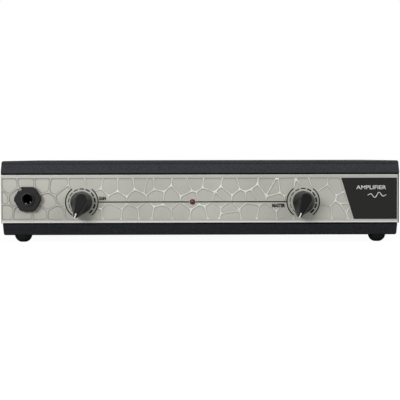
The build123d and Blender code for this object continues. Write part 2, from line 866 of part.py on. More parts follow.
def make_shaft(x):
    """The pot's shaft, from inside the can to the top of the knob's bore."""
    with BuildPart() as shaft:
        with BuildSketch(front_plane(x, knob_z, knob_gap + knob_height - 2.8)):
            Circle(shaft_radius)
        extrude(amount=-(knob_gap + knob_height - 2.8 + wall_in_y - face_y + pot_depth - 2.4))
    return shaft


for name, x in zip(("gain", "master"), pot_xs):
    write(make_knob(x), f"{name}_knob")
    write(make_shaft(x), f"{name}_shaft")

with BuildPart() as pilot_led:
    with BuildSketch(front_plane(led_x, knob_z, face_y - wall_in_y)):
        Circle(led_flange_radius)
    extrude(amount=-1.0)
    with BuildSketch(front_plane(led_x, knob_z, face_y - wall_in_y)):
        Circle(led_radius)
    extrude(amount=wall_in_y - face_y + led_proud)
    fillet(pilot_led.faces().sort_by(Axis.Y)[0].edges(), radius=led_radius * 0.8)
write(pilot_led, "pilot_led")

with BuildPart() as led_holder:
    with BuildSketch(Plane.XY.offset(preamp_z)):
        with Locations((led_x, wall_in_y + 1.0 + 2.5)):
            Rectangle(5, 5)
    extrude(amount=knob_z - preamp_z + 2.5)
    fillet(led_holder.faces().sort_by(Axis.Z)[-1].edges().filter_by(Axis.Y), radius=1.5)
write(led_holder, "led_holder")

# ---------------------------------------------------------------- circuit boards

preamp_left = jack_x - jack_box_width / 2 - 4
preamp_right = master_x + pot_radius + 6
preamp_front = wall_in_y + 2
preamp_back = preamp_front + front_zone
amp_left = -half_inside + fan_depth + 8
amp_right = -board_gap / 2
power_left = board_gap / 2
power_right = half_inside - 10
power_z = floor_z + power_board_rise + board_thickness

# the preamp board's left screws stand clear of the jack's body
jack_clear = jack_x + jack_box_width / 2 + board_margin - preamp_left

# each board: name, left, right, front, back, underside, and its left screws' inset
boards = {
    "preamp_board": (
        preamp_left, preamp_right, preamp_front, preamp_back, floor_z + preamp_board_rise, jack_clear
    ),
    "amp_board": (
        amp_left, amp_right, power_front_y, power_back_y, floor_z + power_board_rise, board_margin
    ),
    "power_board": (
        power_left, power_right, power_front_y, power_back_y, floor_z + power_board_rise, board_margin
    ),
}


def board_corners(left, right, front, back, left_inset):
    """Where a board's four screws go."""
    xs = (left + left_inset, right - board_margin)
    ys = (front + board_margin, back - board_margin)
    return [(x, y) for x in xs for y in ys]


def make_board(left, right, front, back, underside, left_inset):
    """A plain board with a hole at each corner."""
    with BuildPart() as board:
        with BuildSketch(Plane.XY.offset(underside)):
            with Locations(((left + right) / 2, (front + back) / 2)):
                RectangleRounded(right - left, back - front, 2)
            with Locations(*board_corners(left, right, front, back, left_inset)):
                Circle(screw_radius + screw_play, mode=Mode.SUBTRACT)
        extrude(amount=board_thickness)
    return board


for name, edges_of_board in boards.items():
    write(make_board(*edges_of_board), name)

with BuildPart() as board_standoffs:
    for left, right, front, back, underside, left_inset in boards.values():
        with BuildSketch(Plane.XY.offset(floor_z)):
            with Locations(*board_corners(left, right, front, back, left_inset)):
                RegularPolygon(standoff_radius, 6)
        extrude(amount=underside - floor_z)
        with BuildSketch(Plane.XY.offset(underside)):
            with Locations(*board_corners(left, right, front, back, left_inset)):
                Circle(screw_radius + screw_play / 2)
        extrude(amount=-5.2, mode=Mode.SUBTRACT)
write(board_standoffs, "board_standoffs")

with BuildPart() as board_screws:
    for left, right, front, back, underside, left_inset in boards.values():
        with BuildSketch(Plane.XY.offset(underside + board_thickness)):
            with Locations(*board_corners(left, right, front, back, left_inset)):
                Circle(screw_head_radius)
        extrude(amount=screw_head_height)
        with BuildSketch(Plane.XY.offset(underside + board_thickness)):
            with Locations(*board_corners(left, right, front, back, left_inset)):
                Circle(screw_radius)
        extrude(amount=-(board_thickness + 5))
write(board_screws, "board_screws")


def block(x, y, z, width, depth, height):
    """An upright box standing at (x, y, z)."""
    with BuildPart() as piece:
        with BuildSketch(floor_plane(x, y, z)):
            Rectangle(width, depth)
        extrude(amount=height)
    return piece.part


def turned(x, y, z, outline):
    """A solid turned about the upright axis at (x, y) from (radius, height) points."""
    with BuildPart() as piece:
        with BuildSketch(upright_plane(x, y, z)):
            with BuildLine():
                Polyline(*outline, close=True)
            make_face()
        revolve(axis=Axis((x, y, z), (0, 0, 1)))
    return piece.part


def can(x, y, z, radius, height):
    """An upright cylinder with a broken rim, such as an electrolytic capacitor."""
    rim = 0.8
    outline = [(0, 0), (radius, 0), (radius, height - rim), (radius - rim, height), (0, height)]
    return turned(x, y, z, outline)


def ring(x, y, z, inside, width, height):
    """A wound ring lying on a board."""
    with BuildPart() as piece:
        with BuildSketch(upright_plane(x, y, z)):
            with Locations((inside + width / 2, height / 2)):
                RectangleRounded(width, height, min(width, height) * 0.3)
        revolve(axis=Axis((x, y, z), (0, 0, 1)))
    return piece.part


def write_group(pieces, label):
    """Writes separate solids of one kind as one node."""
    with BuildPart() as group:
        add(pieces)
    write(group, label)


tall = ceiling_z - headroom - power_z  # tallest part that the power boards may carry

chip_blocks = []
for step in range(chips):
    x = gain_x + first_chip + step * chip_pitch
    chip_blocks.append(block(x, preamp_front + chip_row, preamp_z, chip_width, chip_depth, chip_height))
write_group(chip_blocks, "preamp_chips")

signal_parts = []
for step in range(signal_cans):
    x = jack_x + first_signal_can + step * signal_can_pitch
    y = preamp_front + signal_can_row
    signal_parts.append(can(x, y, preamp_z, signal_can_radius, signal_can_height))
for step in range(signal_films):
    x = gain_x + first_signal_film + step * signal_film_pitch
    y = preamp_front + signal_film_row
    size = (signal_film_width, signal_film_depth, signal_film_height)
    signal_parts.append(block(x, y, preamp_z, *size))
write_group(signal_parts, "signal_capacitors")

# Heatsink on the amplifier board, with fins along the draught from the fan.
fin_pitch = (sink_depth - fin_thickness) / (sink_fins - 1)
sink_x = amp_left + sink_inset + sink_width / 2
with BuildPart() as heatsink:
    with BuildSketch(Plane.XY.offset(power_z)):
        with Locations((sink_x, fan_y)):
            Rectangle(sink_width, sink_depth)
    extrude(amount=tall)
    with BuildSketch(Plane.XY.offset(power_z + sink_base)):
        with Locations((sink_x, fan_y)):
            with GridLocations(0, fin_pitch, 1, sink_fins - 1):
                Rectangle(sink_width, fin_pitch - fin_thickness)
    extrude(amount=tall - sink_base, mode=Mode.SUBTRACT)
write(heatsink, "heatsink")

# Transistors in a row against the end of the heatsink, each on three legs.
transistor_x = sink_x + (sink_width + transistor_thickness) / 2
transistors = []
for step in range(transistor_count):
    y = fan_y + (step - (transistor_count - 1) / 2) * transistor_pitch
    size = (transistor_thickness, transistor_width, transistor_height)
    transistors.append(block(transistor_x, y, power_z + transistor_legs, *size))
    for leg in (-1, 0, 1):
        size = (transistor_leg_thickness, transistor_leg_width, transistor_legs)
        transistors.append(block(transistor_x, y + leg * transistor_leg_pitch, power_z, *size))
write_group(transistors, "output_transistors")

coil_x = amp_right - coil_inset
coils = []
for side in (-1, 1):
    y = fan_y + side * coil_pitch / 2
    coils.append(ring(coil_x, y, power_z, coil_hole_radius, coil_width, coil_height))
write_group(coils, "output_coils")

film_x = transistor_x + film_to_transistor
films = []
for step in (-1, 0, 1):
    films.append(block(film_x, fan_y + step * film_pitch, power_z, film_width, film_depth, film_height))
write_group(films, "film_capacitors")

supply_cans = []
for side in (-1, 1):
    y = fan_y + side * reservoir_pitch / 2
    supply_cans.append(can(power_left + reservoir_inset, y, power_z, reservoir_radius, tall))
for step in (-1, 0):
    x = power_right - filter_can_inset
    y = fan_y + step * filter_can_pitch
    supply_cans.append(can(x, y, power_z, filter_can_radius, tall - filter_can_drop))
write_group(supply_cans, "supply_capacitors")

# Switch-mode transformer: a ferrite core that closes round a wound bobbin.
core_x = power_left + core_inset
with BuildPart() as transformer_core:
    with BuildSketch(upright_plane(core_x, fan_y + core_depth / 2, power_z)):
        with Locations((0, core_rise)):
            Rectangle(core_width, core_height)
            Rectangle(core_window_width, core_window_height, mode=Mode.SUBTRACT)
    extrude(amount=core_depth)
write(transformer_core, "transformer_core")

bobbin_depth = core_depth + 2 * bobbin_overhang
with BuildPart() as transformer_coil:
    with BuildSketch(upright_plane(core_x, fan_y + bobbin_depth / 2, power_z)):
        with Locations((0, core_rise)):
            RectangleRounded(core_window_width - 2 * coil_play, core_window_height - 2 * coil_play, 3)
    extrude(amount=bobbin_depth)
    with BuildSketch(Plane.XY.offset(power_z)):
        with Locations((core_x, fan_y)):
            with GridLocations(0, bobbin_depth - bobbin_foot_depth, 1, 2):
                Rectangle(bobbin_foot_width, bobbin_foot_depth)
    extrude(amount=bobbin_foot_height)
write(transformer_coil, "transformer_coil")

choke_x = power_right - choke_inset
choke_y = power_back_y - choke_inset
choke = ring(choke_x, choke_y, power_z, choke_hole_radius, choke_width, choke_height)
write_group([choke], "mains_choke")

# ---------------------------------------------------------------- rear sockets

with BuildPart() as inlet_housing:
    with BuildSketch(rear_plane(inlet_x, rear_z)):
        RectangleRounded(inlet_flange_width, inlet_flange_height, 6)
        with GridLocations(inlet_screw_pitch, 0, 2, 1):
            Circle(screw_radius + screw_play, mode=Mode.SUBTRACT)
    extrude(amount=inlet_flange_thickness)
    outer_rim = inlet_housing.faces().sort_by(Axis.Y)[-1].outer_wire().edges()
    fillet(outer_rim, radius=0.8)
    with BuildSketch(rear_plane(inlet_x, rear_z)):
        Rectangle(inlet_body, inlet_body)
    extrude(amount=-inlet_depth)
    with BuildSketch(rear_plane(inlet_x, plug_z, inlet_flange_thickness)):
        half_plug = plug_width / 2
        with BuildLine():
            Polyline(
                (-half_plug, -plug_height / 2),
                (half_plug, -plug_height / 2),
                (half_plug, plug_height / 2 - plug_corner),
                (half_plug - plug_corner, plug_height / 2),
                (plug_corner - half_plug, plug_height / 2),
                (-half_plug, plug_height / 2 - plug_corner),
                close=True,
            )
        make_face()
    extrude(amount=-plug_depth, mode=Mode.SUBTRACT)
    with BuildSketch(rear_plane(inlet_x, drawer_z, inlet_flange_thickness)):
        Rectangle(drawer_width + 2 * drawer_play, drawer_height + 2 * drawer_play)
    extrude(amount=-(drawer_depth + inlet_flange_thickness + drawer_play), mode=Mode.SUBTRACT)
write(inlet_housing, "inlet_housing")

# Three blades stand in the recess and come out behind as solder tabs.
blade_places = [(-blade_pitch, -2.0), (0, 2.0), (blade_pitch, -2.0)]
with BuildPart() as inlet_blades:
    with BuildSketch(rear_plane(inlet_x, plug_z, inlet_flange_thickness - plug_depth)):
        with Locations(*blade_places):
            Rectangle(blade_width, blade_height)
    extrude(amount=plug_depth - 4)
    with BuildSketch(rear_plane(inlet_x, plug_z, -inlet_depth)):
        with Locations(*blade_places):
            Rectangle(0.8, blade_height)
    extrude(amount=-8)
write(inlet_blades, "inlet_blades")

with BuildPart() as fuse_drawer:
    with BuildSketch(rear_plane(inlet_x, drawer_z, inlet_flange_thickness + 0.8)):
        RectangleRounded(drawer_width, drawer_height, 0.8)
    extrude(amount=-(drawer_depth + inlet_flange_thickness + 0.8))
    # the fuse's trough, and a notch for a screwdriver
    with BuildSketch(Plane.XY.offset(drawer_z + drawer_height / 2)):
        with Locations((inlet_x, back_y - drawer_depth + fuse_radius + 1.8)):
            Rectangle(fuse_length + 0.4, 2 * fuse_radius + 0.4)
    extrude(amount=-(2 * fuse_radius + 1), mode=Mode.SUBTRACT)
    with BuildSketch(rear_plane(inlet_x, drawer_z + drawer_height / 2, inlet_flange_thickness + 0.8)):
        Rectangle(7, 2.4)
    extrude(amount=-1.6, mode=Mode.SUBTRACT)
write(fuse_drawer, "fuse_drawer")

fuse_y = back_y - drawer_depth + fuse_radius + 1.8
fuse_z = drawer_z + drawer_height / 2 - fuse_radius - 0.9
with BuildPart() as mains_fuse:
    with BuildSketch(across_plane(inlet_x - fuse_length / 2, fuse_y, fuse_z)):
        Circle(fuse_radius)
    extrude(amount=fuse_length)
write(mains_fuse, "mains_fuse")

# Power switch: a snapped-in frame, a rocker on two trunnions and four tabs.
pivot_y = back_y
rocker_half = rocker_width / 2
with BuildPart() as switch_frame:
    with BuildSketch(rear_plane(switch_x, rear_z)):
        RectangleRounded(switch_width, switch_height, 1)
    extrude(amount=switch_flange_thickness)
    outer_rim = switch_frame.faces().sort_by(Axis.Y)[-1].edges()
    fillet(outer_rim, radius=0.7)
    with BuildSketch(rear_plane(switch_x, rear_z)):
        Rectangle(switch_width - 2, switch_height - 2)
    extrude(amount=-switch_body_depth)
    with BuildSketch(rear_plane(switch_x, rear_z, switch_flange_thickness)):
        Rectangle(rocker_width + 2 * rocker_play, 2 * (rocker_sweep + rocker_play))
    extrude(amount=-(switch_flange_thickness + 6), mode=Mode.SUBTRACT)
    trunnion_half = (switch_width - 2) / 2 - 0.2
    with BuildSketch(across_plane(switch_x, pivot_y, rear_z)):
        Circle(trunnion_radius + shaft_play)
    extrude(amount=trunnion_half + 0.1, both=True, mode=Mode.SUBTRACT)
write(switch_frame, "switch_frame")

rocker_plane = Plane(
    origin=(switch_x, pivot_y, rear_z), x_dir=(0, math.cos(tilt), -math.sin(tilt)), z_dir=(1, 0, 0)
)
with BuildPart() as switch_rocker:
    with BuildSketch(rocker_plane):
        foot = math.sqrt(rocker_sweep**2 - rocker_root**2)
        with BuildLine():
            ThreePointArc((rocker_rise, rocker_end), (rocker_waist, 0), (rocker_rise, -rocker_end))
            ThreePointArc((rocker_rise, -rocker_end), (0, -rocker_sweep), (-rocker_root, -foot))
            Line((-rocker_root, -foot), (-rocker_root, foot))
            ThreePointArc((-rocker_root, foot), (0, rocker_sweep), (rocker_rise, rocker_end))
        make_face()
    extrude(amount=rocker_half, both=True)
    with BuildSketch(rocker_plane):
        Circle(trunnion_radius)
    extrude(amount=trunnion_half - 0.1, both=True)
write(switch_rocker, "switch_rocker")

def round_socket(x, depth):
    """A blank for a round socket: a barrel behind the panel and a flange with two screw holes."""
    with BuildPart() as blank:
        with BuildSketch(rear_plane(x, rear_z)):
            RectangleRounded(socket_flange_width, socket_flange_height, 3)
            with Locations((socket_screw_x, socket_screw_z), (-socket_screw_x, -socket_screw_z)):
                Circle(screw_radius + screw_play, mode=Mode.SUBTRACT)
        extrude(amount=socket_flange_thickness)
        with BuildSketch(rear_plane(x, rear_z)):
            Circle(socket_barrel_radius)
        extrude(amount=-depth)
    return blank.part


# Speaker socket: a twist-lock one, with a ring-shaped well round a central post.
speaker_blank = round_socket(speaker_x, socket_depth)
with BuildPart() as speaker_socket:
    add(speaker_blank)
    with BuildSketch(rear_plane(speaker_x, rear_z, socket_flange_thickness)):
        Circle(speaker_bore_radius)
        Circle(speaker_post_radius, mode=Mode.SUBTRACT)
    extrude(amount=-speaker_bore_depth, mode=Mode.SUBTRACT)
    with BuildSketch(rear_plane(speaker_x, rear_z, socket_flange_thickness)):
        Circle(1.6)
    extrude(amount=-speaker_bore_depth / 2, mode=Mode.SUBTRACT)
write(speaker_socket, "speaker_socket")

balanced_depth = 20.0
balanced_blank = round_socket(balanced_x, balanced_depth)
with BuildPart() as balanced_socket:
    add(balanced_blank)
    with BuildSketch(rear_plane(balanced_x, rear_z, socket_flange_thickness)):
        Circle(balanced_bore_radius)
    extrude(amount=-balanced_bore_depth, mode=Mode.SUBTRACT)
write(balanced_socket, "balanced_socket")

with BuildPart() as balanced_pins:
    with BuildSketch(rear_plane(balanced_x, rear_z, socket_flange_thickness - balanced_bore_depth)):
        with PolarLocations(balanced_pin_circle, 3, start_angle=30):
            Circle(balanced_pin_radius)
    extrude(amount=balanced_bore_depth - 2)
    fillet(balanced_pins.faces().group_by(Axis.Y)[-1].edges(), radius=0.6)
write(balanced_pins, "balanced_pins")

# Solder tabs behind the switch and the two round sockets.
pole_places = [(sx * 3.5, sz * 6.0) for sx in (-1, 1) for sz in (-1, 1)]
with BuildPart() as socket_tabs:
    with BuildSketch(rear_plane(switch_x, rear_z, -switch_body_depth)):
        with Locations(*pole_places):
            Rectangle(0.8, 4.8)
    extrude(amount=-8)
    with BuildSketch(rear_plane(speaker_x, rear_z, -socket_depth)):
        with GridLocations(9, 9, 2, 2):
            Rectangle(0.8, 4.8)
    extrude(amount=-8)
    with BuildSketch(rear_plane(balanced_x, rear_z, -balanced_depth)):
        with PolarLocations(balanced_pin_circle, 3, start_angle=30):
            Rectangle(2, 2)
    extrude(amount=-6)
write(socket_tabs, "socket_tabs")

# Screws and nuts of the inlet and of the round sockets.
flange_screws = [(inlet_x + side * inlet_screw_pitch / 2, rear_z, inlet_flange_thickness) for side in (-1, 1)]
for x in (speaker_x, balanced_x):
    for side in (-1, 1):
        place = (x - side * socket_screw_x, rear_z + side * socket_screw_z)
        flange_screws.append((*place, socket_flange_thickness))

with BuildPart() as rear_screws:
    for x, z, out in flange_screws:
        with BuildSketch(rear_plane(x, z, out)):
            Circle(screw_head_radius)
        extrude(amount=screw_head_height, taper=12)
        with BuildSketch(rear_plane(x, z, out)):
            Circle(screw_radius)
        extrude(amount=-(out + rear_thickness + nut_height + 1))
        with BuildSketch(rear_plane(x, z, out + screw_head_height)):
            Rectangle(rear_drive_reach, drive_width)
            Rectangle(drive_width, rear_drive_reach)
        extrude(amount=-rear_drive_depth, mode=Mode.SUBTRACT)
write(rear_screws, "rear_screws")

with BuildPart() as rear_nuts:
    for x, z, out in flange_screws:
        with BuildSketch(rear_plane(x, z, -rear_thickness)):
            RegularPolygon(nut_radius, 6)
            Circle(screw_radius + screw_play / 2, mode=Mode.SUBTRACT)
        extrude(amount=-nut_height)
write(rear_nuts, "rear_nuts")

# Two small jacks and the ground lift switch stand on one upright board.
with BuildPart() as mini_jacks:
    for x in mini_xs:
        with BuildSketch(rear_plane(x, rear_z, -rear_thickness)):
            Rectangle(small_body, small_body)
        extrude(amount=-small_body_depth)
        with BuildSketch(rear_plane(x, rear_z, -rear_thickness)):
            Circle(mini_thread_radius)
        mini_end = mini_nut_height + mini_rim
        extrude(amount=rear_thickness + mini_end)
        with BuildSketch(rear_plane(x, rear_z, mini_end)):
            Circle(mini_bore_radius)
        extrude(amount=-(mini_end + rear_thickness + small_body_depth - 1), mode=Mode.SUBTRACT)
write(mini_jacks, "mini_jacks")

with BuildPart() as mini_jack_nuts:
    for x in mini_xs:
        with BuildSketch(rear_plane(x, rear_z)):
            Circle(mini_nut_flats / 2)
            Circle(mini_thread_radius + screw_play / 2, mode=Mode.SUBTRACT)
        extrude(amount=mini_nut_height)
write(mini_jack_nuts, "mini_jack_nuts")

lift_bore_depth = 5.0 + button_travel + 0.5
with BuildPart() as ground_lift_switch:
    with BuildSketch(rear_plane(lift_x, rear_z, -rear_thickness)):
        Rectangle(small_body, small_body)
    extrude(amount=-small_body_depth)
    with BuildSketch(rear_plane(lift_x, rear_z, -rear_thickness)):
        Circle(button_radius + shaft_play)
    extrude(amount=-lift_bore_depth, mode=Mode.SUBTRACT)
write(ground_lift_switch, "ground_lift_switch")

with BuildPart() as ground_lift_button:
    with BuildSketch(rear_plane(lift_x, rear_z, button_reach)):
        Circle(button_radius)
    extrude(amount=-(button_reach + rear_thickness + 5.0))
    fillet(ground_lift_button.faces().sort_by(Axis.Y)[-1].edges(), radius=0.6)
write(ground_lift_button, "ground_lift_button")

with BuildPart() as rear_board:
    with BuildSketch(rear_plane((aux_x + lift_x) / 2, rear_z, -rear_thickness - small_body_depth)):
        Rectangle(lift_x - aux_x + small_body + 6, 24)
    extrude(amount=-board_thickness)
write(rear_board, "rear_board")

# ---------------------------------------------------------------- fan

fan_wall_x = -half_inside  # the fan's outer face lies on the left wall


def fan_plane(depth):
    """The fan's section at depth from the wall, facing into the case."""
    return across_plane(fan_wall_x + depth, fan_y, fan_z)


with BuildPart() as fan_frame:
    with BuildSketch(fan_plane(0)):
        RectangleRounded(fan_size, fan_size, 3)
        Circle(fan_bore_radius, mode=Mode.SUBTRACT)
        with GridLocations(fan_pitch, fan_pitch, 2, 2):
            Circle(screw_radius + fan_hole_play, mode=Mode.SUBTRACT)
    extrude(amount=fan_depth)
    with BuildSketch(fan_plane(fan_depth - fan_plate)):
        Circle(fan_hub_radius)
        with PolarLocations((fan_bore_radius + fan_hub_radius) / 2, 3, start_angle=20):
            Rectangle(fan_bore_radius - fan_hub_radius + 3, 2.4)
        Circle(fan_pin_radius + shaft_play, mode=Mode.SUBTRACT)
    extrude(amount=fan_plate)
write(fan_frame, "fan_frame")

blade_length = fan_depth - fan_plate - 2 * fan_tip_play
with BuildPart() as fan_rotor:
    with BuildSketch(fan_plane(fan_tip_play)):
        Circle(fan_hub_radius)
    extrude(amount=blade_length)
    for step in range(fan_blades):
        angle = 2 * math.pi * step / fan_blades
        out = (0, math.cos(angle), math.sin(angle))
        middle = fan_tip_play + blade_length / 2
        with BuildSketch(Plane(origin=(fan_wall_x + middle, fan_y, fan_z), x_dir=(1, 0, 0), z_dir=out)):
            Rectangle(blade_length * 1.25, 1.0, rotation=38)
        extrude(amount=fan_bore_radius - fan_tip_play + 1)
    with BuildSketch(fan_plane(fan_tip_play)):
        Circle(fan_bore_radius - fan_tip_play)
    extrude(amount=blade_length, mode=Mode.INTERSECT)
    with BuildSketch(fan_plane(fan_tip_play)):
        Circle(fan_pin_radius)
    extrude(amount=fan_depth - fan_tip_play - 0.2)
write(fan_rotor, "fan_rotor")

with BuildPart() as fan_screws:
    with BuildSketch(fan_plane(fan_depth)):
        with GridLocations(fan_pitch, fan_pitch, 2, 2):
            Circle(screw_head_radius)
    extrude(amount=screw_head_height)
    with BuildSketch(fan_plane(fan_depth)):
        with GridLocations(fan_pitch, fan_pitch, 2, 2):
            Circle(screw_radius)
    extrude(amount=-(fan_depth + sheet))
write(fan_screws, "fan_screws")

# ---------------------------------------------------------------- wiring inside the case

wire_bend = 5.0
wire_lane = 5.4  # distance from the boards' back edges to the first wire across the case


def wire(*points):
    """An insulated lead through the points, with a rounded bend at each corner."""
    start = Vector(*points[0])
    with BuildPart() as lead:
        with BuildLine():
            FilletPolyline(*points, radius=wire_bend)
        with BuildSketch(Plane(origin=start, z_dir=Vector(*points[1]) - start)):
            Circle(wire_radius)
        sweep()
    return lead.part


inlet_tab_y = back_y - inlet_depth - 8
switch_tab_y = back_y - switch_body_depth - 8
speaker_tab_y = back_y - socket_depth - 8
solder_y = power_back_y - 5
tab_z = plug_z - 2
near_y = power_back_y + wire_lane
mains_wires = []
for side, lane in ((-1, near_y), (1, near_y - 4)):
    tab_x = inlet_x + side * blade_pitch
    pole_x = switch_x - side * 3.5
    pole_z = rear_z + 6
    start = (tab_x, inlet_tab_y, tab_z)
    end = (pole_x, switch_tab_y, pole_z)
    mains_wires.append(wire(start, (tab_x, lane, tab_z), (pole_x, lane, pole_z), end))
for side in (-1, 1):
    pole_x = switch_x + side * 3.5
    pole_z = rear_z - 6
    start = (pole_x, switch_tab_y, pole_z)
    mains_wires.append(wire(start, (pole_x, solder_y, pole_z), (pole_x, solder_y, power_z)))
write_group(mains_wires, "mains_wires")

speaker_wires = []
for side in (-1, 1):
    x = speaker_x + side * 4.5
    z = rear_z - 4.5
    speaker_wires.append(wire((x, speaker_tab_y, z), (x, solder_y, z), (x, solder_y, power_z)))
write_group(speaker_wires, "speaker_wires")

# A flat cable arches from the back of the preamp board to the front of the amplifier board.
cable_thickness = 0.8
cable_width = 16.0
cable_top = preamp_z + 7
cable_bend = 2.5
with BuildPart() as ribbon_cable:
    with BuildSketch(across_plane(-40, 0, 0)) as strip:
        start = preamp_back - 3
        end = power_front_y + 4
        with BuildLine():
            Polyline(
                (start, preamp_z),
                (start, cable_top),
                (end, cable_top),
                (end, power_z),
                (end - cable_thickness, power_z),
                (end - cable_thickness, cable_top - cable_thickness),
                (start + cable_thickness, cable_top - cable_thickness),
                (start + cable_thickness, preamp_z),
                close=True,
            )
        make_face()
        outer_bends = strip.vertices().group_by(Axis.Y)[-1]
        fillet(outer_bends, radius=cable_bend)
        inner_bends = strip.vertices().filter_by_position(
            Axis.Y, cable_top - 1.1 * cable_thickness, cable_top - 0.9 * cable_thickness
        )
        fillet(inner_bends, radius=cable_bend - cable_thickness)
    extrude(amount=cable_width / 2, both=True)
write(ribbon_cable, "ribbon_cable")
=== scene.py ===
# %% [markdown]
# # A slim guitar amp head
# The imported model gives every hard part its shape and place, so this script adds what makes the parts
# look real: finishes, the relief of the front panel, its printing, the badge's lettering and the light.
# Everything is in metres, in the frame's own axes: X to the right, Y to the rear and Z up.

import json
import math
import random

import bmesh
import bpy
from mathutils import Matrix, Vector, noise


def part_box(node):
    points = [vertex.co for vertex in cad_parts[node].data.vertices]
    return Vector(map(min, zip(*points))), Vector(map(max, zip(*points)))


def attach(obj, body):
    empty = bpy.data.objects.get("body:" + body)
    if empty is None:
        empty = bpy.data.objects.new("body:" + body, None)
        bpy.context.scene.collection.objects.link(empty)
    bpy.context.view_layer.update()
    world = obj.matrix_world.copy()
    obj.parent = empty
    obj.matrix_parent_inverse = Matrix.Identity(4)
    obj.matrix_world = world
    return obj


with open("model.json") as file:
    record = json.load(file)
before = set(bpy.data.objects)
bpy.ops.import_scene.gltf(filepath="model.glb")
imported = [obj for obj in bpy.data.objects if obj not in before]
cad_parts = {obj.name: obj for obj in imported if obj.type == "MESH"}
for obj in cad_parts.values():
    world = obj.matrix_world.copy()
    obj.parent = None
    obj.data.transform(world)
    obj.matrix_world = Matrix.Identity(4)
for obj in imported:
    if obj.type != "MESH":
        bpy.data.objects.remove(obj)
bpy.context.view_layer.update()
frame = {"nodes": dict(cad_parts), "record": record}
NODES = frame["nodes"]
MM = 0.001


def middle(node):
    """The centre of a frame node's box."""
    low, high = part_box(node)
    return (Vector(low) + Vector(high)) / 2


panel_low, panel_high = (Vector(corner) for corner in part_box("front_panel"))
badge_low, badge_high = (Vector(corner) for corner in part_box("badge_plate"))
PANEL_FACE = panel_low.y
GAIN = middle("gain_shaft")
MASTER = middle("master_shaft")
LAMP = middle("pilot_led")
JACK = middle("input_jack_washer")
print("panel face at y =", round(PANEL_FACE, 5), "knobs at", tuple(GAIN), tuple(MASTER))

# %% [markdown]
# ## Small helpers
# Colours are written as the hex values that a painter's program shows, and Blender's shaders want them
# linear, so one function converts them. A second one adds a shader node with its settings and links,
# and three short ones on top of it name what is done most often: blend two colours, ramp a value, do a
# sum. Together they keep each finish to a few readable lines.


# %% Helpers for colours, nodes and meshes
def colour(code):
    """A linear RGBA colour from an sRGB hex value such as "8c8c86"."""
    values = [int(code[i : i + 2], 16) / 255 for i in (0, 2, 4)]
    return (*[v / 12.92 if v <= 0.04045 else ((v + 0.055) / 1.055) ** 2.4 for v in values], 1.0)


def add(tree, kind, inputs=None, **settings):
    """Adds a node, sets its properties, and sets or links its inputs."""
    node = tree.nodes.new(kind)
    for name, value in settings.items():
        setattr(node, name, value)
    for key, value in (inputs or {}).items():
        if isinstance(value, bpy.types.NodeSocket):
            tree.links.new(value, node.inputs[key])
        else:
            node.inputs[key].default_value = value
    return node


def blend(tree, factor, first, second):
    """The colour between first and second, as a socket."""
    mix = add(tree, "ShaderNodeMix", {"Factor": factor, "A": first, "B": second}, data_type="RGBA")
    return mix.outputs["Result"]


def ramp(tree, value, low, high, start=0.0, end=1.0):
    """A value that goes from start to end while the input goes from low to high, as a socket."""
    ends = {"From Min": low, "From Max": high, "To Min": start, "To Max": end}
    return add(tree, "ShaderNodeMapRange", {"Value": value, **ends}).outputs["Result"]


def calc(tree, operation, *values):
    """The result of one math node, as a socket."""
    return add(tree, "ShaderNodeMath", dict(enumerate(values)), operation=operation).outputs[0]


def repaint(material, factor, code):
    """Lays a colour over a material's base colour, as much as the factor says."""
    tree = material.node_tree
    base = tree.nodes["Principled BSDF"].inputs["Base Color"]
    tree.links.new(blend(tree, factor, base.links[0].from_socket, colour(code)), base)


def make_object(name, vertices, faces, material, slot, body="case"):
    """A mesh piece with its faces turned outwards, riding on a body."""
    mesh = bpy.data.meshes.new(name)
    mesh.from_pydata([tuple(v) for v in vertices], [], faces)
    work = bmesh.new()
    work.from_mesh(mesh)
    bmesh.ops.remove_doubles(work, verts=work.verts, dist=1e-7)
    bmesh.ops.recalc_face_normals(work, faces=work.faces)
    work.to_mesh(mesh)
    work.free()
    piece = bpy.data.objects.new(name, mesh)
    bpy.context.scene.collection.objects.link(piece)
    mesh.materials.append(material)
    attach(piece, body)
    return piece


print("mid grey is", round(colour("808080")[0], 3), "in linear light")

# %% [markdown]
# ## Camera, floor and light
# The head is seen straight from the front, from just above the height of its top, through a long lens
# that keeps its edges almost parallel. The lens is as long as it takes to fill the frame.

# %% Camera
VIEW_DISTANCE = 0.9
VIEW_HEIGHT = 0.06
VIEW_SIDE = 0.0
SEEN_WIDTH = 0.2804
ROLL = math.radians(-0.13)
aim = Vector((0.0, PANEL_FACE, panel_low.z + 15.95 * MM))
eye = Vector((VIEW_SIDE, PANEL_FACE - VIEW_DISTANCE, VIEW_HEIGHT))
camera_data = bpy.data.cameras.new("camera")
camera = bpy.data.objects.new("camera", camera_data)
bpy.context.scene.collection.objects.link(camera)
camera_data.sensor_width = 36
camera_data.lens = camera_data.sensor_width * (aim - eye).length / SEEN_WIDTH
camera_data.clip_end = 20
facing = (aim - eye).to_track_quat("-Z", "Y").to_matrix().to_4x4()
camera.matrix_world = Matrix.Translation(eye) @ facing @ Matrix.Rotation(ROLL, 4, "Z")
bpy.context.scene.camera = camera
print("lens", round(camera_data.lens, 1), "mm")

# %% [markdown]
# The floor is a pale sheet of paper. The eye sees it almost pure white, but it throws much less light
# back at the head, as a grey table would, so the underside stays dark. The Light Path node tells the two
# apart: it is a property of the stage, and no part of the head uses it.

# %% Floor
bpy.context.scene.view_settings.view_transform = "Standard"
FLOOR_SEEN = 1.2
FLOOR_SHARE = 0.8
FLOOR_BOUNCE = "9a9a99"
FLOOR_REACH = 6.0


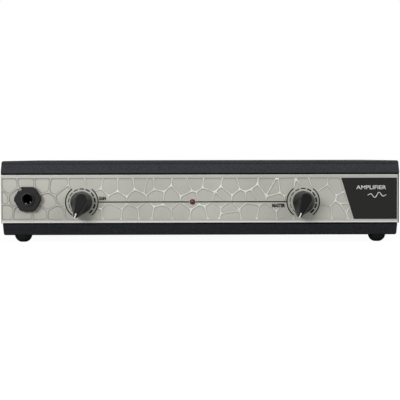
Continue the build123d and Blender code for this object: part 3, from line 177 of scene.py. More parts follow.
def floor_paper():
    """White to the eye, with a faint shadow, and a soft grey bounce for everything else."""
    material = bpy.data.materials.new("floor paper")
    material.use_nodes = True
    tree = material.node_tree
    tree.nodes.remove(tree.nodes["Principled BSDF"])
    seen = add(tree, "ShaderNodeEmission", {"Strength": FLOOR_SEEN})
    matte = add(tree, "ShaderNodeBsdfDiffuse", {"Color": colour(FLOOR_BOUNCE)})
    ray = add(tree, "ShaderNodeLightPath").outputs["Is Camera Ray"]
    share = calc(tree, "MULTIPLY", ray, FLOOR_SHARE)
    both = add(tree, "ShaderNodeMixShader", {0: share, 1: matte.outputs[0], 2: seen.outputs[0]})
    tree.links.new(both.outputs[0], tree.nodes["Material Output"].inputs["Surface"])
    return material


floor_mesh = bpy.data.meshes.new("floor")
floor_corners = [(x * FLOOR_REACH, y * FLOOR_REACH, 0) for x, y in ((-1, -1), (1, -1), (1, 1), (-1, 1))]
floor_mesh.from_pydata(floor_corners, [], [(0, 1, 2, 3)])
floor = bpy.data.objects.new("floor", floor_mesh)
bpy.context.scene.collection.objects.link(floor)
floor_mesh.materials.append(floor_paper())
print("floor", 2 * FLOOR_REACH, "m wide")

# %% [markdown]
# The room is white to the eye and dim to the head, so dark paint stays dark. A broad key light stands
# to the left of the camera and a little above it, a weaker one to the right, a third overhead for the
# faces that lean back, and a fourth behind for the rear panel.

# %% World and lights
ROOM_GLOW = 0.3
world = bpy.data.worlds.new("studio")
bpy.context.scene.world = world
world.use_nodes = True
room = world.node_tree
backdrop = room.nodes["Background"]
backdrop.inputs["Color"].default_value = (1.0, 1.0, 1.0, 1.0)
to_camera = add(room, "ShaderNodeLightPath").outputs["Is Camera Ray"]
room.links.new(ramp(room, to_camera, 0.0, 1.0, ROOM_GLOW, 1.0), backdrop.inputs["Strength"])


def soft_light(name, place, target, width, height, watts):
    """A rectangular studio light that points at a target."""
    data = bpy.data.lights.new(name, "AREA")
    data.shape = "RECTANGLE"
    data.size = width
    data.size_y = height
    data.energy = watts
    lamp = bpy.data.objects.new(name, data)
    bpy.context.scene.collection.objects.link(lamp)
    aim_at = (Vector(target) - Vector(place)).to_track_quat("-Z", "Y").to_matrix().to_4x4()
    lamp.matrix_world = Matrix.Translation(place) @ aim_at


soft_light("key", (-1.3, -2.0, 0.7), (0, 0, 0.03), 1.0, 0.8, 34)
soft_light("fill", (1.7, -1.6, 0.5), (0, 0, 0.03), 0.9, 0.9, 12)
soft_light("top", (0.0, -0.7, 1.8), (0, 0, 0.05), 1.4, 0.8, 12)
soft_light("back", (0.9, 2.0, 1.2), (0, 0, 0.03), 1.2, 0.8, 20)
print("room glow on the head", ROOM_GLOW)

# %% [markdown]
# ## Finishes
# Each finish starts from what the real surface is and how it was made. Most hard parts share one
# recipe: a base colour that drifts a little, a roughness that drifts with it, and a fine bump at the
# size of the real grain. Object coordinates are used, because every part's object sits at the origin
# and so the grain has one real scale everywhere.


# %% The shared recipe
BROAD_PATCH = 30.0
CONTRAST_LOW, CONTRAST_HIGH = 0.35, 0.65


def finish(name, dark, light, grain, bump, rough, metallic=0.0, shine=0.5, coat=0.0, drift=0.5):
    """A procedural surface: grain and bump in millimetres, drift is the share of the broad noise."""
    material = bpy.data.materials.new(name)
    material.use_nodes = True
    tree = material.node_tree
    shader = tree.nodes["Principled BSDF"]
    shader.inputs["Metallic"].default_value = metallic
    shader.inputs["Specular IOR Level"].default_value = shine
    shader.inputs["Coat Weight"].default_value = coat
    where = add(tree, "ShaderNodeTexCoord").outputs["Object"]
    fine_noise = {"Vector": where, "Scale": 1 / (grain * MM), "Detail": 3.0, "Roughness": 0.6}
    fine = add(tree, "ShaderNodeTexNoise", fine_noise).outputs["Fac"]
    broad_noise = {"Vector": where, "Scale": 1 / (BROAD_PATCH * MM), "Detail": 2.0}
    broad = add(tree, "ShaderNodeTexNoise", broad_noise).outputs["Fac"]
    both = add(tree, "ShaderNodeMix", {"Factor": drift, "A": fine, "B": broad}).outputs["Result"]
    spread = ramp(tree, both, CONTRAST_LOW, CONTRAST_HIGH)
    tree.links.new(blend(tree, spread, colour(dark), colour(light)), shader.inputs["Base Color"])
    tree.links.new(ramp(tree, fine, 0.0, 1.0, *rough), shader.inputs["Roughness"])
    lift = add(tree, "ShaderNodeBump", {"Height": fine, "Distance": bump * MM})
    tree.links.new(lift.outputs["Normal"], shader.inputs["Normal"])
    return material


# %% [markdown]
# The case is steel with a fine textured powder coat: near-black with tiny lighter specks, dull, and just
# rough enough to catch a soft light. The panel is bead blasted aluminium, which scatters light evenly
# and so looks pale grey rather than mirror-like. Rubber, moulded ABS and black oxide follow the same
# recipe with their own grain. The coat's own grain is about 0.3 mm, and it is drawn three times as
# coarse, so that it still shows from where the head is usually seen.

# %% Finishes of the case and its parts
SURFACES = {
    "case_steel": finish(
        "textured powder coat", "1b1c1e", "33343a", 0.9, 0.12, (0.45, 0.8), shine=0.22, drift=0.12
    ),
    "panel_metal": finish("blasted aluminium", "b2b2ab", "bebeb9", 0.25, 0.012, (0.45, 0.6), metallic=0.35),
    "badge_black": finish("satin black anodising", "1d1d1b", "222220", 0.2, 0.006, (0.4, 0.5), shine=0.25),
    "foot_rubber": finish("moulded rubber", "0d0d0f", "151517", 0.6, 0.03, (0.6, 0.85), shine=0.25),
    "black_screw": finish("black oxide steel", "202022", "2c2c2e", 0.3, 0.01, (0.35, 0.5), metallic=0.6),
    "zinc_steel": finish("zinc plated steel", "a5a49c", "b9bcbd", 0.4, 0.01, (0.25, 0.4), metallic=1.0),
    "black_plastic": finish("moulded ABS", "101012", "19191b", 0.35, 0.015, (0.35, 0.5), shine=0.35),
    "socket_blue": finish("moulded blue nylon", "14284f", "1b3260", 0.35, 0.015, (0.35, 0.5), shine=0.4),
    "knob_plastic": finish("moulded phenolic", "08090a", "0d0e0f", 0.3, 0.015, (0.3, 0.42), shine=0.35),
    "plated_metal": finish("nickel plate", "b4b0a5", "c9c6bd", 0.5, 0.004, (0.18, 0.3), metallic=1.0),
    "red_lens": finish("red tinted epoxy", "570f15", "6a151c", 1.5, 0.0, (0.2, 0.3), coat=0.3),
    "board_green": finish("solder mask", "0e3b22", "14492b", 0.4, 0.01, (0.25, 0.4), coat=0.3),
    "chip_black": finish("epoxy moulding", "1b1b1c", "262627", 0.25, 0.01, (0.5, 0.65)),
    "can_sleeve": finish("shrink sleeve", "16162a", "1f1f3a", 3.0, 0.01, (0.25, 0.35), coat=0.4),
    "film_box": finish("dipped film", "8a3a12", "a1481a", 2.0, 0.01, (0.3, 0.4)),
    "sink_aluminium": finish("extruded aluminium", "8e9093", "a0a2a4", 0.3, 0.01, (0.3, 0.45), metallic=1.0),
    "ferrite": finish("sintered ferrite", "2c2c2e", "3a3a3c", 0.5, 0.03, (0.5, 0.7)),
    "tape_yellow": finish("polyester tape", "c49a1c", "d4ab33", 4.0, 0.02, (0.2, 0.3), coat=0.3),
    "copper_winding": finish("enamelled copper", "8a3f1a", "b05a2c", 0.9, 0.1, (0.2, 0.35), metallic=0.8),
    "wire_sleeve": finish("PVC sleeve", "141416", "1d1d20", 2.0, 0.01, (0.35, 0.45)),
    "cable_grey": finish("flat cable sleeve", "8c8c8c", "9b9b9b", 1.27, 0.1, (0.4, 0.5)),
}
glass = bpy.data.materials.new("fuse glass")
glass.use_nodes = True
glass_shader = glass.node_tree.nodes["Principled BSDF"]
glass_shader.inputs["Transmission Weight"].default_value = 1.0
glass_shader.inputs["IOR"].default_value = 1.5
glass_shader.inputs["Roughness"].default_value = 0.03
SURFACES["fuse_glass"] = glass

for row in frame["record"]["subparts"]:
    for spot in NODES[row["node"]].material_slots:
        spot.material = SURFACES[row["material_slot"]]

# %% [markdown]
# Where the folded steel meets the panel it lies in a narrow gap, and almost no light gets there. A painted
# shade, a dark band in the coat, stands for that gap: it runs just above the panel's top and just below
# its bottom, and only near the front.

# %% Painted shade in the gaps beside the panel
GAP_HEIGHT, GAP_BLUR, GAP_SHADE_STRENGTH = 1.3 * MM, 0.2 * MM, 0.9
GAP_REACH, GAP_END = 6 * MM, 8 * MM
coat_tree = SURFACES["case_steel"].node_tree
coat_place = add(coat_tree, "ShaderNodeTexCoord").outputs["Object"]
coat_axes = add(coat_tree, "ShaderNodeSeparateXYZ", {"Vector": coat_place}).outputs
panel_middle = (panel_low.z + panel_high.z) / 2
gap_edge = (panel_high.z - panel_low.z) / 2 + GAP_HEIGHT
away = calc(coat_tree, "ABSOLUTE", calc(coat_tree, "SUBTRACT", coat_axes["Z"], panel_middle))
gap_shade = ramp(coat_tree, away, gap_edge, gap_edge - GAP_BLUR, 0.0, GAP_SHADE_STRENGTH)
in_front = ramp(coat_tree, coat_axes["Y"], PANEL_FACE + GAP_END, PANEL_FACE + GAP_REACH)
# painted shade: near-black laid over the coat in the gaps beside the panel
repaint(SURFACES["case_steel"], calc(coat_tree, "MULTIPLY", gap_shade, in_front), "010101")
print("gaps of", round(GAP_HEIGHT / MM, 2), "mm above and below the panel")

# %% [markdown]
# The panel's lower bevel faces down towards the pale floor, and a painted highlight, a pale colour laid
# over the finish, makes it bright. The finish finds it by its height, with a narrow step on Object Z.

# %% Painted highlight on the lower bevel
BEVEL_HEIGHT, BEVEL_END = 0.75 * MM, 1.2 * MM
panel_tree = SURFACES["panel_metal"].node_tree
panel_place = add(panel_tree, "ShaderNodeTexCoord").outputs["Object"]
panel_z = add(panel_tree, "ShaderNodeSeparateXYZ", {"Vector": panel_place}).outputs["Z"]
bevel_highlight = ramp(panel_tree, panel_z, panel_low.z + BEVEL_HEIGHT, panel_low.z + BEVEL_END, 1.0, 0.0)
# painted highlight: the lower bevel painted near-white
repaint(SURFACES["panel_metal"], bevel_highlight, "ecece8")
print("bevel", round(BEVEL_HEIGHT / MM, 2), "mm high")

# %% [markdown]
# ## The relief of the front panel
# The sunk field of the panel is cast with a cracked, cell-like relief: rounded cells in three rough rows,
# parted by narrow ridges. A displacement texture would blur such fine ridges, so the cells are worked
# out as polygons. Seeds are scattered in rows with a fixed random seed, each seed owns the area that is
# nearer to it than to any other, and every cell gets rings of points that climb from its floor to the
# ridge around it. A smooth blend of the distances to its sides rounds each cell's corners.

# %% The field and its seeds
FIELD_DEPTH = 0.5 * MM
END_BORDER = 0.8 * MM
RIB = 0.9 * MM
FIELD_FLOOR = PANEL_FACE + FIELD_DEPTH
CELL_PITCH = 12.2 * MM
CELL_ROWS = 3
CELL_JITTER = 0.25
SPLIT_SHARE = 0.12
SPLIT_REACH = 0.36

badge_points = [v.co for v in NODES["badge_plate"].data.vertices]
badge_foot_x = min(p.x for p in badge_points if p.z < badge_low.z + 0.1 * MM)
field_left = panel_low.x + END_BORDER
field_low, field_high = badge_low.z, badge_high.z
field_shape = [
    Vector((field_left, field_low)),
    Vector((badge_foot_x - RIB, field_low)),
    Vector((badge_low.x - RIB, field_high)),
    Vector((field_left, field_high)),
]
chance = random.Random(23)
row_height = (field_high - field_low) / CELL_ROWS
columns = round((badge_low.x - field_left) / CELL_PITCH)
seeds = []
for row in range(CELL_ROWS):
    for column in range(-1, columns + 2):
        shift = Vector((chance.uniform(-1, 1) * CELL_PITCH, chance.uniform(-1, 1) * row_height))
        x = field_left + (column + 0.5 * (row % 2) + 0.25) * CELL_PITCH
        z = field_low + (row + 0.5) * row_height
        seeds.append(Vector((x, z)) + shift * CELL_JITTER)
        if chance.random() < SPLIT_SHARE:
            turn = chance.uniform(0, math.tau)
            seeds.append(seeds[-1] + Vector((math.cos(turn), math.sin(turn))) * SPLIT_REACH * row_height)
print(len(seeds), "cells in the field")


# %% Cells as polygons
def clip(shape, point, normal):
    """The part of a convex polygon that lies behind the line through point."""
    kept = []
    for i, here in enumerate(shape):
        there = shape[(i + 1) % len(shape)]
        a, b = (here - point).dot(normal), (there - point).dot(normal)
        if a <= 0:
            kept.append(here)
        if a * b < 0:
            kept.append(here + (there - here) * (a / (a - b)))
    return kept


def cell_of(seed):
    """The polygon of the field that is nearer to seed than to any other."""
    shape = field_shape
    for other in seeds:
        if other is not seed and shape:
            shape = clip(shape, (seed + other) / 2, other - seed)
    return shape


def on_border(a, b):
    """Whether the side from a to b lies on the field's own outline."""
    for i, corner in enumerate(field_shape):
        along = (field_shape[(i + 1) % 4] - corner).normalized()
        if all(abs((p - corner).cross(along)) < 1e-6 for p in (a, b)):
            return True
    return False


print("the first cell has", len(cell_of(seeds[0])), "corners")

# %% [markdown]
# The relief is planed flat under the controls and their printing, so the ink lies on smooth metal.
# Elsewhere its height follows a slow noise, as on a worn casting, so no two stretches look alike. Near
# the jack its ridges are low, with a weaker painted highlight and more painted shade along their feet.

# %% Where the relief fades
SCALE_RADIUS = 11.4 * MM
GAIN_WORD = (GAIN.x + 11.9 * MM, GAIN.z + 1.15 * MM, GAIN.x + 17.0 * MM, GAIN.z + 3.85 * MM)
MASTER_WORD = (MASTER.x - 21.8 * MM, MASTER.z - 4.05 * MM, MASTER.x - 12.7 * MM, MASTER.z - 1.35 * MM)
SCALE_FLAT = SCALE_RADIUS + 0.4 * MM
FLAT_SPOTS = ((GAIN, SCALE_FLAT), (MASTER, SCALE_FLAT), (LAMP, 2.2 * MM), (JACK, 7.8 * MM))
SPOT_BLEND = 0.9 * MM
LINE_FLAT = (0.9 * MM, 1.7 * MM)
WORD_FLAT = (0.3 * MM, 1.2 * MM)
# Near the jack the ridges are lower, with a weaker painted highlight and stronger painted shade.
NEAR_JACK_FROM = JACK.x + 26 * MM
NEAR_JACK_BLEND = 12 * MM
WEAR_PATCH = 16 * MM
WEAR_LEAST, WEAR_MEAN, WEAR_SWING = 0.3, 0.8, 0.75


def step(value, low, high):
    """0 below low, 1 above high, smooth between."""
    t = min(1.0, max(0.0, (value - low) / (high - low)))
    return t * t * (3 - 2 * t)


def relief_share(p):
    """How much of the relief's height is left at a point of the field."""
    share = 1.0
    for spot, radius in FLAT_SPOTS:
        share *= step(math.hypot(p.x - spot.x, p.y - spot.z), radius, radius + SPOT_BLEND)
    if GAIN.x < p.x < MASTER.x:
        share *= step(abs(p.y - GAIN.z), *LINE_FLAT)
    for left, bottom, right, top in (GAIN_WORD, MASTER_WORD):
        outside = max(left - p.x, p.x - right, bottom - p.y, p.y - top)
        share *= step(outside, *WORD_FLAT)
    return share


def wear(p):
    """A slow noise from WEAR_LEAST to 1."""
    slow = noise.noise(Vector((p.x, p.y, 0)) / WEAR_PATCH)
    return min(1.0, max(WEAR_LEAST, WEAR_MEAN + WEAR_SWING * slow))


print("relief kept at the jack:", relief_share(Vector((JACK.x, JACK.z))))

# %% Rings of each cell
CORNER_BLEND = 0.6 * MM
# each ring: its distance from the cell's sides in mm, its height and its painted shade
RINGS = (
    (0.0, 1.0, 0.0),
    (0.13, 0.95, 0.0),
    (0.26, 0.5, 0.3),
    (0.42, 0.1, 1.0),
    (0.62, 0.0, 1.0),
    (0.8, 0.0, 0.15),
    (1.4, 0.02, 0.0),
    (2.8, 0.1, 0.0),
)
CELL_CROWN = 0.14
RIDGE_HEIGHT = 0.38 * MM
BASE_HEIGHT = 0.05 * MM
SIDE_STEP = 0.8 * MM
BORDER_INSET = 0.4 * MM
HALVINGS = 13
# The second value weakens the painted highlight near the jack, the third is the share of painted shade on
# ridge feet elsewhere.
LOWER_NEAR_JACK, DIMMER_HIGHLIGHT_NEAR_JACK, RIDGE_SHADE_ELSEWHERE = 0.3, 0.65, 0.35
RIDGE_FROM = 0.3
FIRST_RING_SHARE, NEXT_RING_SHARE = 0.4, 0.08


def depth_in(p, sides):
    """The smoothed distance from p to the cell's sides."""
    total = sum(math.exp(-(abs((p - a).cross(along)) + extra) / CORNER_BLEND) for a, along, extra in sides)
    return -CORNER_BLEND * math.log(total)


def point_at_depth(corner, centre, sides, target):
    """The point between corner and centre that is target away from the cell's sides."""
    near, far = 0.0, 1.0
    for _ in range(HALVINGS):
        half = (near + far) / 2
        if depth_in(corner.lerp(centre, half), sides) < target:
            near = half
        else:
            far = half
    return corner.lerp(centre, near)


vertices, faces, heights, ridge_shades = [], [], [], []


def relief_point(p, height, stain):
    """Adds one point of the relief with its height and its painted shade."""
    share = relief_share(p)
    rise = height * share * (wear(p) if height > RIDGE_FROM else 1.0)
    near_jack = step(NEAR_JACK_FROM - p.x, -NEAR_JACK_BLEND, NEAR_JACK_BLEND)
    lift = BASE_HEIGHT + rise * RIDGE_HEIGHT * (1 - LOWER_NEAR_JACK * near_jack)
    vertices.append((p.x, FIELD_FLOOR - lift, p.y))
    # The height list also sets the painted highlight on the ridges, and the next list the painted shade along
    # their feet.
    heights.append(rise * (1 - DIMMER_HIGHLIGHT_NEAR_JACK * near_jack))
    ridge_shades.append(stain * share * (RIDGE_SHADE_ELSEWHERE + (1 - RIDGE_SHADE_ELSEWHERE) * near_jack))


for seed in seeds:
    shape = cell_of(seed)
    sides, outline = [], []
    for i, a in enumerate(shape):
        b = shape[(i + 1) % len(shape)]
        length = (b - a).length
        if length > 1e-7:
            sides.append((a, (b - a) / length, BORDER_INSET if on_border(a, b) else 0.0))
            count = max(1, round(length / SIDE_STEP))
            outline += [a + (b - a) * k / count for k in range(count)]
    if len(sides) < 3:
        continue
    centre = sum(outline, Vector((0.0, 0.0))) / len(outline)
    deepest = depth_in(centre, sides)
    first, size = len(vertices), len(outline)
    for ring, (distance, height, stain) in enumerate(RINGS):
        target = min(distance * MM, deepest * (FIRST_RING_SHARE + NEXT_RING_SHARE * ring))
        for corner in outline:
            place = point_at_depth(corner, centre, sides, target) if ring else corner
            relief_point(place, height, stain)
    for a in range(first, first + (len(RINGS) - 1) * size):
        b = a + 1 if (a - first + 1) % size else a + 1 - size
        faces.append((a, b, b + size, a + size))
    relief_point(centre, CELL_CROWN, 0.0)
    last = first + (len(RINGS) - 1) * size
    faces += [(last + k, last + (k + 1) % size, len(vertices) - 1) for k in range(size)]
print("relief:", len(vertices), "points")

# %% [markdown]
# The sheet of cells gets a skirt and a back, so it is a closed solid, and then the holes for the jack,
# the two shafts and the lamp are cut through it with a Boolean.


# %% Close the relief and cut its holes
def rod(place, radius, length, sides=48):
    """A round rod along Y, as (vertices, faces), centred on place."""
    points = []
    for y in (-length / 2, length / 2):
        for k in range(sides):
            turn = math.tau * k / sides
            points.append((place.x + radius * math.cos(turn), place.y + y, place.z + radius * math.sin(turn)))
    shell = [(k, (k + 1) % sides, sides + (k + 1) % sides, sides + k) for k in range(sides)]
    return points, shell + [tuple(range(sides)), tuple(reversed(range(sides, 2 * sides)))]


def joined(parts):
    """Several (vertices, faces) pairs as one."""
    vertices, faces = [], []
    for points, quads in parts:
        offset = len(vertices)
        vertices += points
        faces += [tuple(i + offset for i in quad) for quad in quads]
    return vertices, faces


WELD = 0.002 * MM
SKIRT_GAP = 0.005 * MM
mesh = bpy.data.meshes.new("relief_blank")
mesh.from_pydata(vertices, [], faces)
# The height attribute also drives the painted highlight, the second one holds the painted shade.
for name, values in (("height", heights), ("stain", ridge_shades)):
    mesh.attributes.new(name, "FLOAT", "POINT").data.foreach_set("value", values)
work = bmesh.new()
work.from_mesh(mesh)
bmesh.ops.remove_doubles(work, verts=work.verts, dist=WELD)
rim = [edge for edge in work.edges if edge.is_boundary]
skirt = bmesh.ops.extrude_edge_only(work, edges=rim)["geom"]
for point in (item for item in skirt if isinstance(item, bmesh.types.BMVert)):
    point.co.y = FIELD_FLOOR - SKIRT_GAP
lower_rim = [item for item in skirt if isinstance(item, bmesh.types.BMEdge) and item.is_boundary]
bmesh.ops.holes_fill(work, edges=lower_rim, sides=0)
bmesh.ops.recalc_face_normals(work, faces=work.faces)
work.to_mesh(mesh)
work.free()
blank = bpy.data.objects.new("relief_blank", mesh)
bpy.context.scene.collection.objects.link(blank)

HOLES = ((JACK, 6.4 * MM), (GAIN, 4.6 * MM), (MASTER, 4.6 * MM), (LAMP, 1.62 * MM))
CUTTER_LENGTH = 4 * MM
rods = [rod(Vector((spot.x, FIELD_FLOOR, spot.z)), radius, CUTTER_LENGTH) for spot, radius in HOLES]
cutter_points, cutter_faces = joined(rods)
cutters = bpy.data.meshes.new("cutters")
cutters.from_pydata(cutter_points, [], cutter_faces)
cutter = bpy.data.objects.new("cutter", cutters)
bpy.context.scene.collection.objects.link(cutter)
cut = blank.modifiers.new("holes", "BOOLEAN")
cut.operation = "DIFFERENCE"
cut.solver = "EXACT"
cut.object = cutter
bpy.context.view_layer.update()
relief_mesh = bpy.data.meshes.new_from_object(blank.evaluated_get(bpy.context.evaluated_depsgraph_get()))
bpy.data.objects.remove(blank)
bpy.data.objects.remove(cutter)
relief_mesh.name = "panel_relief"
relief_mesh.materials.clear()
for face in relief_mesh.polygons:
    face.use_smooth = True
relief = bpy.data.objects.new("panel_relief", relief_mesh)
bpy.context.scene.collection.objects.link(relief)
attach(relief, "case")
print("relief after its holes:", len(relief_mesh.polygons), "faces")

# %% [markdown]
# The ridges are painted brighter than the cells between them, a painted highlight that also stands for
# rubbed wear, and painted shade lies along their feet. The relief carries its own height and the share of
# painted shade as attributes, so the finish can follow them exactly.


# %% Finish of the relief
# strength of the painted shade along the ridge feet
RIDGE_SHADE_STRENGTH = 0.85


def relief_finish():
    """Cast and blasted metal with painted shade along the ridge feet and a painted highlight, partly rubbed
    wear, on the high lines.
    """
    material = finish("cast relief", "acaca3", "bbbbb2", 0.35, 0.012, (0.5, 0.65), metallic=0.2)
    tree = material.node_tree
    stain = add(tree, "ShaderNodeAttribute", attribute_name="stain").outputs["Fac"]
    # painted shade: a darker pinkish grey along the ridge feet, strongest near the jack
    repaint(material, ramp(tree, stain, 0.0, 1.0, 0.0, RIDGE_SHADE_STRENGTH), "7d7672")
    height = add(tree, "ShaderNodeAttribute", attribute_name="height").outputs["Fac"]
    # painted highlight: the ridge tops painted paler, partly standing for rubbed wear
    repaint(material, ramp(tree, height, 0.3, 0.9), "dededa")
    return material


relief_mesh.materials.append(relief_finish())
print("relief finish:", relief_mesh.materials[0].name)

# %% [markdown]
# ## Printing on the panel
# The scales, the line that joins them and the words are silk screened: a film of black ink, too thin to
# measure with a ruler. It is drawn as a very thin raised layer, so it stays crisp from every side.

# %% Ink
INK_BACK = FIELD_FLOOR - BASE_HEIGHT + 0.02 * MM
INK_FACE = FIELD_FLOOR - BASE_HEIGHT - 0.09 * MM
ink = finish("screen ink", "0c0c0a", "131311", 0.6, 0.004, (0.5, 0.65), shine=0.25)


def slab(outer, inner, face=INK_FACE, back=INK_BACK):
    """A thin layer between two rows of (x, z) points, as (vertices, faces)."""
    points, quads = [], []
    for y in (face, back):
        points += [(x, y, z) for x, z in outer] + [(x, y, z) for x, z in inner]
    n = len(outer)
    for k in range(n - 1):
        a, b, c, d = k, k + 1, n + k + 1, n + k
        quads += [(a, b, c, d), (a + 2 * n, d + 2 * n, c + 2 * n, b + 2 * n)]
        quads += [(a, a + 2 * n, b + 2 * n, b), (d, c, c + 2 * n, d + 2 * n)]
    for k in (0, n - 1):
        quads.append((k, n + k, 3 * n + k, 2 * n + k))
    return points, quads


def arc_slab(centre, radius, width, start, end, face=INK_FACE, back=INK_BACK):
    """A stroke of ink along an arc, with angles in degrees clockwise from straight up."""
    count = max(4, round(abs(end - start) / 3))
    outer, inner = [], []
    for k in range(count + 1):
        angle = math.radians(start + (end - start) * k / count)
        way = (math.sin(angle), math.cos(angle))
        outer.append((centre.x + way[0] * (radius + width / 2), centre.z + way[1] * (radius + width / 2)))
        inner.append((centre.x + way[0] * (radius - width / 2), centre.z + way[1] * (radius - width / 2)))
    return slab(outer, inner, face, back)


def line_slab(x_from, x_to, z, width):
    """A level stroke of ink."""
    return slab(*([(x, z + side * width / 2) for x in (x_from, x_to)] for side in (1, -1)))


print("ink layer", round((INK_BACK - INK_FACE) / MM, 2), "mm thick")

# %% Arcs and the line between them
STROKE = 0.8 * MM
ARC_FROM, ARC_TO = 37.0, 144.0
LAMP_GAP = 2.3 * MM
for name, spot in (("gain", GAIN), ("master", MASTER)):
    arcs = [arc_slab(spot, SCALE_RADIUS, STROKE, side * ARC_FROM, side * ARC_TO) for side in (-1, 1)]
    make_object(name + "_arcs", *joined(arcs), ink, "knob_plastic")
lines = [
    line_slab(GAIN.x + SCALE_RADIUS, LAMP.x - LAMP_GAP, GAIN.z, STROKE),
    line_slab(LAMP.x + LAMP_GAP, MASTER.x - SCALE_RADIUS, GAIN.z, STROKE),
]
make_object("joining_line", *joined(lines), ink, "knob_plastic")
print("arcs of", ARC_TO - ARC_FROM, "degrees beside each knob")

# %% [markdown]
# The dashes round each knob repeat by a rule: equal steps, each a little bolder than the one before. A
# Geometry Nodes tree draws them as a straight row first, where X is the angle and Y is the distance
# from the scale's circle, and then wraps the row round the circle with Set Position.


# %% A tree for the dashes
def new_tree(name, inputs):
    """A Geometry Nodes tree with named inputs, as (tree, input node, output node)."""
    tree = bpy.data.node_groups.new(name, "GeometryNodeTree")
    tree.interface.new_socket("Geometry", in_out="OUTPUT", socket_type="NodeSocketGeometry")
    for label, kind in inputs.items():
        tree.interface.new_socket(label, in_out="INPUT", socket_type="NodeSocket" + kind)
    return tree, tree.nodes.new("NodeGroupInput"), tree.nodes.new("NodeGroupOutput")


def grown(name, tree, values):
    """The mesh that a tree makes from its named input values."""
    holder = bpy.data.objects.new(name, bpy.data.meshes.new(name))
    bpy.context.scene.collection.objects.link(holder)
    modifier = holder.modifiers.new(name, "NODES")
    modifier.node_group = tree
    for item in tree.interface.items_tree:
        if item.in_out == "INPUT" and item.name in values:
            modifier[item.identifier] = values[item.name]
    bpy.context.view_layer.update()
    mesh = bpy.data.meshes.new_from_object(holder.evaluated_get(bpy.context.evaluated_depsgraph_get()))
    bpy.data.objects.remove(holder)
    return mesh


def place_mesh(name, mesh, matrix, body="case"):
    """A piece from a mesh that is moved into place, with its object left at the origin."""
    mesh.transform(matrix)
    mesh.name = name
    piece = bpy.data.objects.new(name, mesh)
    bpy.context.scene.collection.objects.link(piece)
    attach(piece, body)
    return piece


dash_inputs = {"Count": "Int", "Material": "Material"}
dash_inputs |= dict.fromkeys(("Radius", "Sweep", "Span", "Thin", "Bold", "Depth"), "Float")
dashes, given_node, result = new_tree("dashes", dash_inputs)
given = given_node.outputs
step_angle = calc(dashes, "DIVIDE", given["Sweep"], given["Count"])
last_dash = calc(dashes, "SUBTRACT", given["Count"], 1.0)
start_angle = calc(dashes, "MULTIPLY", calc(dashes, "MULTIPLY", last_dash, -0.5), step_angle)
row_ends = {
    "Count": given["Count"],
    "Start Location": add(dashes, "ShaderNodeCombineXYZ", {"X": start_angle}).outputs[0],
    "Offset": add(dashes, "ShaderNodeCombineXYZ", {"X": step_angle}).outputs[0],
}
row = add(dashes, "GeometryNodeMeshLine", row_ends).outputs["Mesh"]
dash_axes = {"X": given["Span"], "Y": 1.0, "Z": given["Depth"]}
dash_size = add(dashes, "ShaderNodeCombineXYZ", dash_axes).outputs[0]
dash = add(dashes, "GeometryNodeMeshCube", {"Size": dash_size, "Vertices X": 7}).outputs["Mesh"]
share = calc(dashes, "DIVIDE", add(dashes, "GeometryNodeInputIndex").outputs[0], last_dash)
widths = {"Factor": share, "A": given["Thin"], "B": given["Bold"]}
width = add(dashes, "ShaderNodeMix", widths).outputs["Result"]
scale = add(dashes, "ShaderNodeCombineXYZ", {"X": 1.0, "Y": width, "Z": 1.0}).outputs[0]
laid = add(dashes, "GeometryNodeInstanceOnPoints", {"Points": row, "Instance": dash, "Scale": scale})
real = add(dashes, "GeometryNodeRealizeInstances", {"Geometry": laid.outputs["Instances"]})
flat_place = add(dashes, "GeometryNodeInputPosition").outputs[0]
flat = add(dashes, "ShaderNodeSeparateXYZ", {"Vector": flat_place}).outputs
reach = calc(dashes, "ADD", flat["Y"], given["Radius"])
wrapped_axes = {
    "X": calc(dashes, "MULTIPLY", calc(dashes, "SINE", flat["X"]), reach),
    "Y": flat["Z"],
    "Z": calc(dashes, "MULTIPLY", calc(dashes, "COSINE", flat["X"]), reach),
}
wrapped = add(dashes, "ShaderNodeCombineXYZ", wrapped_axes).outputs[0]
bent = add(dashes, "GeometryNodeSetPosition", {"Geometry": real.outputs[0], "Position": wrapped}).outputs[0]
inked = add(dashes, "GeometryNodeSetMaterial", {"Geometry": bent, "Material": given["Material"]}).outputs[0]
dashes.links.new(inked, result.inputs["Geometry"])

dash_values = {
    "Count": 11,
    "Radius": 9.25 * MM,
    "Sweep": math.radians(300),
    "Span": math.radians(20.5),
    "Thin": 0.32 * MM,
    "Bold": 1.25 * MM,
    "Depth": INK_BACK - INK_FACE,
    "Material": ink,
}
for name, spot in (("gain", GAIN), ("master", MASTER)):
    centre = Vector((spot.x, (INK_FACE + INK_BACK) / 2, spot.z))
    scale_mesh = grown("dashes", dashes, dash_values)
    place_mesh(name + "_dashes", scale_mesh, Matrix.Translation(centre))
print("two scales with", dash_values["Count"], "dashes each")


# %% Words
def word(name, text, box, face, back, material, slot, weight):
    """A word as a thin raised layer that fills a box (left, bottom, right, top) as its reader sees it."""
    curve = bpy.data.curves.new(name, "FONT")
    curve.body = text
    curve.offset = weight
    curve.resolution_u = 4
    curve.extrude = 0.5
    lettering = bpy.data.objects.new(name + "_text", curve)
    bpy.context.scene.collection.objects.link(lettering)
    bpy.context.view_layer.update()
    flat = bpy.data.meshes.new_from_object(lettering.evaluated_get(bpy.context.evaluated_depsgraph_get()))
    bpy.data.objects.remove(lettering)
    xs = [v.co.x for v in flat.vertices]
    ys = [v.co.y for v in flat.vertices]
    left, bottom, right, top = box
    wide, tall = (right - left) / (max(xs) - min(xs)), (top - bottom) / (max(ys) - min(ys))
    points = []
    for v in flat.vertices:
        x, z = left + (v.co.x - min(xs)) * wide, bottom + (v.co.y - min(ys)) * tall
        points.append((x, face if v.co.z > 0 else back, z))
    return make_object(name, points, [tuple(p.vertices) for p in flat.polygons], material, slot)


